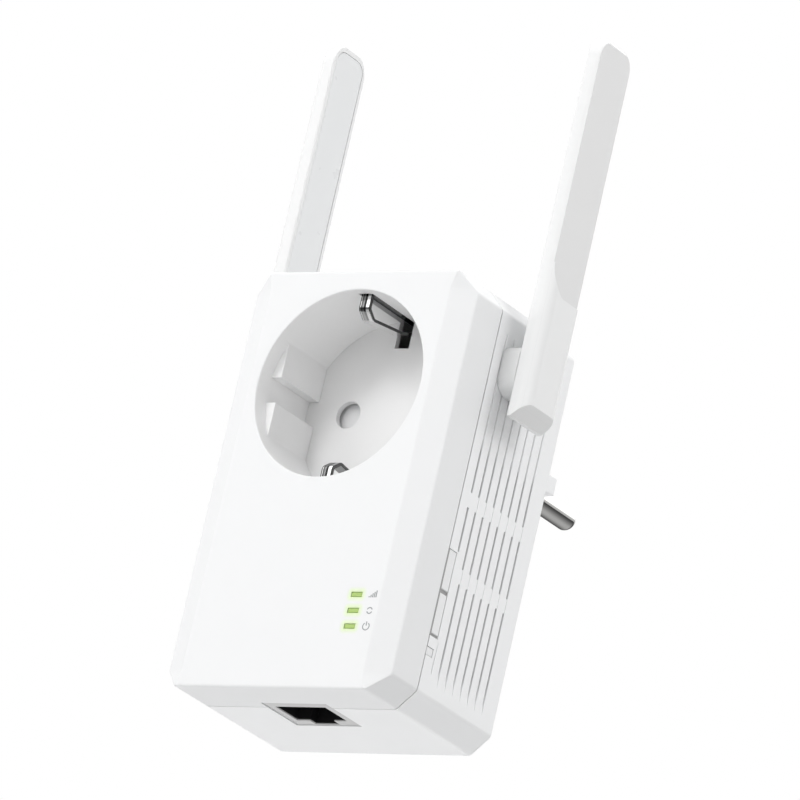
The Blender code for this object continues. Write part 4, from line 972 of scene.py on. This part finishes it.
def make_plug():
    base = as_object("plug_body", softened(prism(plug_outline(), BODY_DEPTH + 0.3, PLUG_FACE), 0.35, 3))
    centre = (0, 0, PLUG_RISE)
    join(base, turned([(PLUG_LOW.y, 14.0), (BODY_DEPTH + 1, 14.0)], centre, (0, 1, 0), 64))
    for name, side in SIDES:
        pin_low, pin_high = extent(f"plug_pin_{name}")
        radius = (pin_high.x - pin_low.x) / 2
        pin_centre = (side * CONTACT_X, 0, PLUG_RISE)
        bore = [(PLUG_LOW.y - 2, radius + 0.25), (PLUG_FACE + 1, radius + 0.25)]
        cut(base, turned(bore, pin_centre, (0, 1, 0), 48))
        tip = 1.6
        profile = [(pin_low.y, radius), (pin_high.y - tip, radius)]
        steps = 8
        for k in range(1, steps + 1):
            angle = math.pi / 2 * k / steps
            along = pin_high.y - tip + tip * math.sin(angle)
            profile.append((along, radius - tip * (1 - math.cos(angle))))
        pin = as_object(f"pin_{name}", turned(profile, pin_centre, (0, 1, 0), 48))
        finished(pin, "housing", NICKEL, [f"plug_pin_{name}"], sharp=50)
    for name, up in (("top", 1), ("bottom", -1)):
        groove_low, groove_high = sorted((PLUG_RISE + up * 15.2, PLUG_RISE + up * 20))
        cut(base, box((-4, BODY_DEPTH - 5, groove_low), (4, PLUG_FACE - 2.5, groove_high)))
        low, high = extent(f"plug_earth_strip_{name}")
        spring = as_object(f"plug_spring_{name}", box(low, high, 0.2))
        finished(spring, "housing", STEEL, [f"plug_earth_strip_{name}"], sharp=40)
    finished(base, "housing", WHITE, ["plug_base"])


# ---------------------------------------------------------------- jack, keys, lights and marks


def make_jack():
    shell = as_object("jack_shell", box(JACK_LOW, JACK_HIGH, 0.15))
    bottom = JACK_LOW.z
    mouth = box((-6.15, 11.5, bottom - 1), (6.15, 19.4, bottom + 13.6))
    notch = box((-2.95, 19.0, bottom - 1), (2.95, 21.5, bottom + 10.6))
    cut(shell, mouth, notch)
    finished(shell, "housing", GREY, ["ethernet_jack"])


def make_keys():
    for name in ("power", "pairing", "reset"):
        low, high = extent(f"{name}_button")
        cap_low = (low.x + 0.3, low.y, low.z + KEY_FOOT)
        cap = box(cap_low, (high.x, high.y - KEY_FRAME, high.z - KEY_FOOT), 0.22, 3)
        key = as_object(f"{name}_key_cap", cap)
        join(key, box((low.x + 0.3, low.y + 0.1, low.z), (low.x + 1.0, high.y, high.z)))
        finished(key, f"{name}_key", KEY_WHITE, [f"{name}_button"])


def make_key_gap_shade():
    """A grey strip in front of the two long keys with a bar below each: painted shade, a dark piece standing
    where the gaps are in shadow.
    """
    low, high = extent("power_button")
    pairing_low, pairing_high = extent("pairing_button")
    root = HALF_WIDTH - 1.2
    front = SPLIT_FRONT + 0.02
    overlap = 0.25
    strip_high = (HALF_WIDTH - 0.03, low.y - 0.02, high.z - KEY_FOOT)
    gap_shade_strip = as_object("key_gap_shade", box((root, front, pairing_low.z - 0.2), strip_high))
    for bar_bottom, bar_top in ((pairing_high.z, low.z), (pairing_low.z, pairing_low.z)):
        bar_low = (root, front + 0.01, bar_bottom - overlap)
        join(gap_shade_strip, box(bar_low, (HALF_WIDTH - 0.3, high.y - KEY_FRAME, bar_top + overlap)))
    finished(gap_shade_strip, "housing", GAP_SHADE_GREY)


def make_lights():
    for number, node in enumerate(light_nodes(), 1):
        low, high = extent(node)
        middle = (low + high) / 2
        lens_low = (middle.x - LIGHT_HALF_WIDTH, low.y, middle.z - LIGHT_HALF_HEIGHT)
        lens = box(lens_low, (middle.x + LIGHT_HALF_WIDTH, high.y, middle.z + LIGHT_HALF_HEIGHT), 0.12, 3)
        piece = as_object(f"light_lens_{number}", lens)
        finished(piece, "housing", LAMP, [node])


def mark(name, solid):
    """A printed mark, a film of ink a few hundredths of a millimetre thick."""
    finished(as_object(name, solid), "housing", PRINT)


def make_marks():
    """Signal bars, a pairing ring and a power sign, one beside each light."""
    rises = [sum(e.z for e in extent(node)) / 2 for node in light_nodes()]
    signal, pairing, power = sorted(rises, reverse=True)
    bars = []
    for k in range(5):
        left = MARK_X - 0.95 + k * 0.41
        bars.append(box((left, -INK, signal - 0.6), (left + 0.24, INK, signal - 0.6 + 0.24 + k * 0.3)))
    mark("mark_signal", merged(*bars))
    mark("mark_pairing", merged(ring_mark(pairing, 0.72, 20, 160), ring_mark(pairing, 0.72, 200, 340)))
    stroke = box((MARK_X - 0.12, -INK, power + 0.15), (MARK_X + 0.12, INK, power + 1.0))
    mark("mark_power", merged(ring_mark(power, 0.88, 125, 415), stroke))


def ring_mark(rise, outer, start, end):
    """Part of a printed ring about a point beside a light, from one angle to another."""
    inner = outer - 0.22
    steps = 24
    angles = [math.radians(start + (end - start) * k / steps) for k in range(steps + 1)]
    outline = [(MARK_X + outer * math.cos(a), rise + outer * math.sin(a)) for a in angles]
    outline += [(MARK_X + inner * math.cos(a), rise + inner * math.sin(a)) for a in reversed(angles)]
    return prism(outline, -INK, INK)


# ---------------------------------------------------------------- antennas


def antenna_section(front, back, inner, outer):
    """The antenna's section in x and y: a flat inner side and large rounds on its outer corners."""
    steps = 9
    outer_round = min(OUTER_ROUND, (outer - inner) * 0.62, (back - front) * 0.45)
    corners = [(inner, front), (outer, front), (outer, back), (inner, back)]
    radii = (0.35, outer_round, outer_round * 0.85, 0.35)
    made = []
    for i, radius in enumerate(radii):
        spot = Vector(corners[i])
        before = (Vector(corners[i - 1]) - spot).normalized()
        after = (Vector(corners[(i + 1) % 4]) - spot).normalized()
        centre = spot + (before + after) * radius
        for k in range(steps + 1):
            angle = math.pi / 2 * k / steps
            arm = after * math.cos(angle) + before * math.sin(angle)
            made.append(tuple(centre - arm * radius))
    return made


def antenna_rings(side):
    """Sections up the antenna: a straight blade and a tip whose corners are rounded."""
    front, back = SHELL_LOW.y, SHELL_HIGH.y
    tip_start = SHELL_HIGH.z - TIP_HEIGHT
    section = antenna_section(front, back, ANTENNA_INNER, ANTENNA_OUTER)
    rings = [[(x, y, z) for x, y in section] for z in (SHELL_LOW.z, tip_start)]
    steps = 14
    for k in range(1, steps + 1):
        angle = math.pi / 2 * k / steps
        pull = 1 - math.cos(angle)
        z = tip_start + TIP_HEIGHT * math.sin(angle)
        ring = antenna_section(
            front + TIP_FRONT_PULL * pull,
            back - TIP_BACK_PULL * pull,
            ANTENNA_INNER + TIP_INNER_PULL * pull,
            ANTENNA_OUTER - TIP_OUTER_PULL * pull**0.8,
        )
        rings.append([(x, y, z) for x, y in ring])
    return [[(side * x, y, z) for x, y, z in ring] for ring in rings]


def foot_cutter(side):
    """What is cut off the antenna's foot: beyond a narrow ledge it slants up towards its outer side."""
    ledge = ANTENNA_INNER + FOOT_LEDGE
    beyond = ANTENNA_OUTER + 1
    outline = [
        (side * (ledge - 1 / FOOT_SLANT), SHELL_LOW.z - 1),
        (side * beyond, SHELL_LOW.z - 1),
        (side * beyond, SHELL_LOW.z + FOOT_SLANT * (beyond - ledge)),
    ]
    return prism(outline, SHELL_LOW.y - 2, SHELL_HIGH.y + 2)


def facet_cutter(side):
    """Everything beyond the facet's plane, from its curved foot up past the tip."""
    front = SHELL_LOW.y - 1
    back = SHELL_HIGH.y + 1
    top = SHELL_HIGH.z + 2
    reach, rise = FACET_CURVE
    steps = 12
    foot = []
    for k in range(steps + 1):
        angle = math.pi / 2 * k / steps
        across = FACET_FRONT + reach * (1 - math.cos(angle))
        foot.append((across, FACET_FOOT + rise * (1 - math.sin(angle))))
    outline = [(front, top), (front, FACET_FOOT + rise), *foot, (back, FACET_FOOT), (back, top)]
    low, high = sorted((side * FACET_X, side * (FACET_X + 6)))
    return prism(outline, low, high, "x")


def inlay_shape(side, start, depth, grow):
    """The inlay's outline, grown or shrunk all round, as a plate or as a pocket for it."""
    low_y, high_y = INLAY_LOW.y - grow, INLAY_HIGH.y + grow
    low_z, high_z = INLAY_LOW.z - grow, INLAY_HIGH.z + grow
    outline = [(low_y, low_z), (high_y, low_z), (high_y, high_z), (low_y, high_z)]
    low, high = sorted((side * start, side * (start + depth)))
    return prism(rounded(outline, [1.0, 1.0, 2.7, 2.7], 8), low, high, "x")


def make_antennas():
    for name, side in SIDES:
        body = f"antenna_{name}"
        shell = as_object(f"antenna_blade_{name}", loft(antenna_rings(side)))
        cut(shell, foot_cutter(side), facet_cutter(side))
        cut(shell, inlay_shape(side, ANTENNA_INNER - 1, 2.15, 0.08))
        cut(shell, inlay_shape(side, ANTENNA_INNER - 1, 3.3, -0.8))
        finished(shell, body, GLOSS_WHITE, [f"antenna_shell_{name}"], edge=0.06)
        cover = inlay_shape(side, ANTENNA_INNER + 0.03, 0.8, 0)
        plate = as_object(f"antenna_inlay_{name}", softened(cover, 0.1, 2, 60))
        finished(plate, body, INLAY_WHITE, [f"antenna_cover_{name}"])
        make_knuckle(name, side)


def make_knuckle(name, side):
    """The block between wall and antenna, its journal in the wall and the hole for the lead."""
    half_y = (KNUCKLE_HIGH.y - KNUCKLE_LOW.y) / 2
    half_z = (KNUCKLE_HIGH.z - KNUCKLE_LOW.z) / 2
    outline = rounded(
        [
            (HINGE_DEPTH - half_y, HINGE_RISE - half_z),
            (HINGE_DEPTH + half_y, HINGE_RISE - half_z),
            (HINGE_DEPTH + half_y, HINGE_RISE + half_z),
            (HINGE_DEPTH - half_y, HINGE_RISE + half_z),
        ],
        [3.6, 3.6, 2.3, 2.3],
        10,
    )
    low, high = sorted((side * (HALF_WIDTH + 0.06), side * (ANTENNA_INNER - 0.05)))
    block = as_object(f"knuckle_{name}", softened(prism(outline, low, high, "x"), 0.25, 3, 60))
    inner = KNUCKLE_LOW.x
    journal = [(inner, 2.2), (inner + 0.4, 2.8), (inner + 0.5, 2.8), (inner + 0.5, 2.2)]
    journal += [(inner + 1.4, 2.2), (inner + 1.4, 2.8), (HALF_WIDTH + 1, 2.8)]
    centre = (0, HINGE_DEPTH, HINGE_RISE)
    join(block, turned(journal, centre, (side, 0, 0), 48))
    cut(block, turned([(inner - 1, 1.4), (inner + 11, 1.4)], centre, (side, 0, 0), 32))
    finished(block, f"antenna_{name}", HINGE_SHADED_WHITE, [f"hinge_knuckle_{name}"])


# ---------------------------------------------------------------- studio


def make_floor():
    bm = bmesh.new()
    bmesh.ops.create_grid(bm, x_segments=8, y_segments=8, size=FLOOR_HALF_SIZE)
    bm.transform(Matrix.Translation((0, 0, -HALF_HEIGHT - FLOOR_DROP / MM)))
    floor = as_object("studio_floor", bm)
    floor.data.materials.append(plastic("studio_floor", (0.85, 0.85, 0.85), 0.8))
    floor.visible_glossy = False


def glow_material(name, base, strength):
    """A surface that glows white on its own, over a faintly uneven grey."""
    made, tree, shader = new_material(name)
    tree.links.new(varied_colour(tree, noise(tree, 2), (base, base, base), 0.05), shader.inputs["Base Color"])
    shader.inputs["Specular IOR Level"].default_value = 0.0
    shader.inputs["Emission Color"].default_value = (1, 1, 1, 1)
    shader.inputs["Emission Strength"].default_value = strength
    return made


def make_backdrop():
    """A pale ring that only the camera sees. It hides the dark part of the world below the horizon."""
    bottom = -HALF_HEIGHT - FLOOR_DROP / MM
    height = BACKDROP_TOP - bottom
    radius = BACKDROP_RADIUS
    bm = bmesh.new()
    bmesh.ops.create_cone(bm, segments=96, radius1=radius, radius2=radius, depth=height)
    bm.transform(Matrix.Translation((0, 0, bottom + height / 2)))
    wall = as_object("backdrop", bm)
    wall.data.materials.append(glow_material("backdrop_glow", 0.0, WORLD_LEVELS[-1][1]))
    wall.visible_diffuse = False
    wall.visible_glossy = False
    wall.visible_shadow = False


def make_reflector():
    """A glowing white sheet overhead that only reflections see."""
    bm = bmesh.new()
    bmesh.ops.create_grid(bm, x_segments=1, y_segments=1, size=REFLECTOR_HALF_SIZE)
    bm.transform(Matrix.Translation((0, 0, REFLECTOR_RISE)))
    sheet = as_object("reflector", bm)
    sheet.data.materials.append(glow_material("reflector_glow", 0.8, 1.0))
    sheet.visible_camera = False
    sheet.visible_diffuse = False
    sheet.visible_shadow = False


def soft_light(name, direction, distance, size, power):
    """A square soft light that faces the object. Direction points from the object to the light."""
    light = bpy.data.lights.new(name, "AREA")
    light.shape = "SQUARE"
    light.size = size
    light.energy = power
    lamp = bpy.data.objects.new(name, light)
    bpy.context.scene.collection.objects.link(lamp)
    way = Vector(direction).normalized()
    lamp.location = LIGHT_TARGET + way * distance
    lamp.rotation_euler = way.to_track_quat("Z", "Y").to_euler()
    lamp.visible_camera = False
    lamp.visible_glossy = False


def make_world():
    """A pale studio with a white band above the horizon, and a dark one below it."""
    world = bpy.data.worlds.new("studio")
    bpy.context.scene.world = world
    world.use_nodes = True
    tree = world.node_tree
    background = tree.nodes["Background"]
    background.inputs["Color"].default_value = (1, 1, 1, 1)
    coordinates = tree.nodes.new("ShaderNodeTexCoord")
    parts = tree.nodes.new("ShaderNodeSeparateXYZ")
    tree.links.new(coordinates.outputs["Generated"], parts.inputs["Vector"])
    ramp = tree.nodes.new("ShaderNodeFloatCurve")
    curve = ramp.mapping.curves[0]
    curve.points[0].location = (0, WORLD_LEVELS[0][1])
    curve.points[-1].location = (1, WORLD_LEVELS[-1][1])
    for spot, level in WORLD_LEVELS[1:-1]:
        curve.points.new(spot * 0.5 + 0.5, level)
    for point in curve.points:
        point.handle_type = "VECTOR"
    ramp.mapping.update()
    tree.links.new(spread_over(tree, parts.outputs["Z"], -1.0, 1.0), ramp.inputs["Value"])
    tree.links.new(ramp.outputs["Value"], background.inputs["Strength"])


def make_camera():
    azimuth = math.radians(VIEW_AZIMUTH)
    elevation = math.radians(VIEW_ELEVATION)
    flat = math.cos(elevation)
    way = Vector((math.sin(azimuth) * flat, -math.cos(azimuth) * flat, math.sin(elevation)))
    data = bpy.data.cameras.new("camera")
    data.lens = LENS
    data.sensor_width = 36
    data.clip_end = 1000
    camera = bpy.data.objects.new("camera", data)
    bpy.context.scene.collection.objects.link(camera)
    turn = way.to_track_quat("Z", "Y") @ Matrix.Rotation(math.radians(VIEW_ROLL), 3, "Z").to_quaternion()
    camera.rotation_mode = "QUATERNION"
    camera.rotation_quaternion = turn
    camera.location = VIEW_TARGET + way * VIEW_DISTANCE
    bpy.context.scene.camera = camera


def make_studio():
    make_floor()
    make_backdrop()
    make_reflector()
    make_world()
    for name, direction, distance, size, power in SOFT_LIGHTS:
        soft_light(name, direction, distance, size, power)
    make_camera()
    bpy.context.scene.view_settings.view_transform = "Standard"
    bpy.context.scene.view_settings.look = "None"


paint_frame()
make_front_cover()
make_rear_housing()
make_socket()
make_plug()
make_jack()
make_keys()
make_key_gap_shade()
make_lights()
make_marks()
make_antennas()
make_studio()
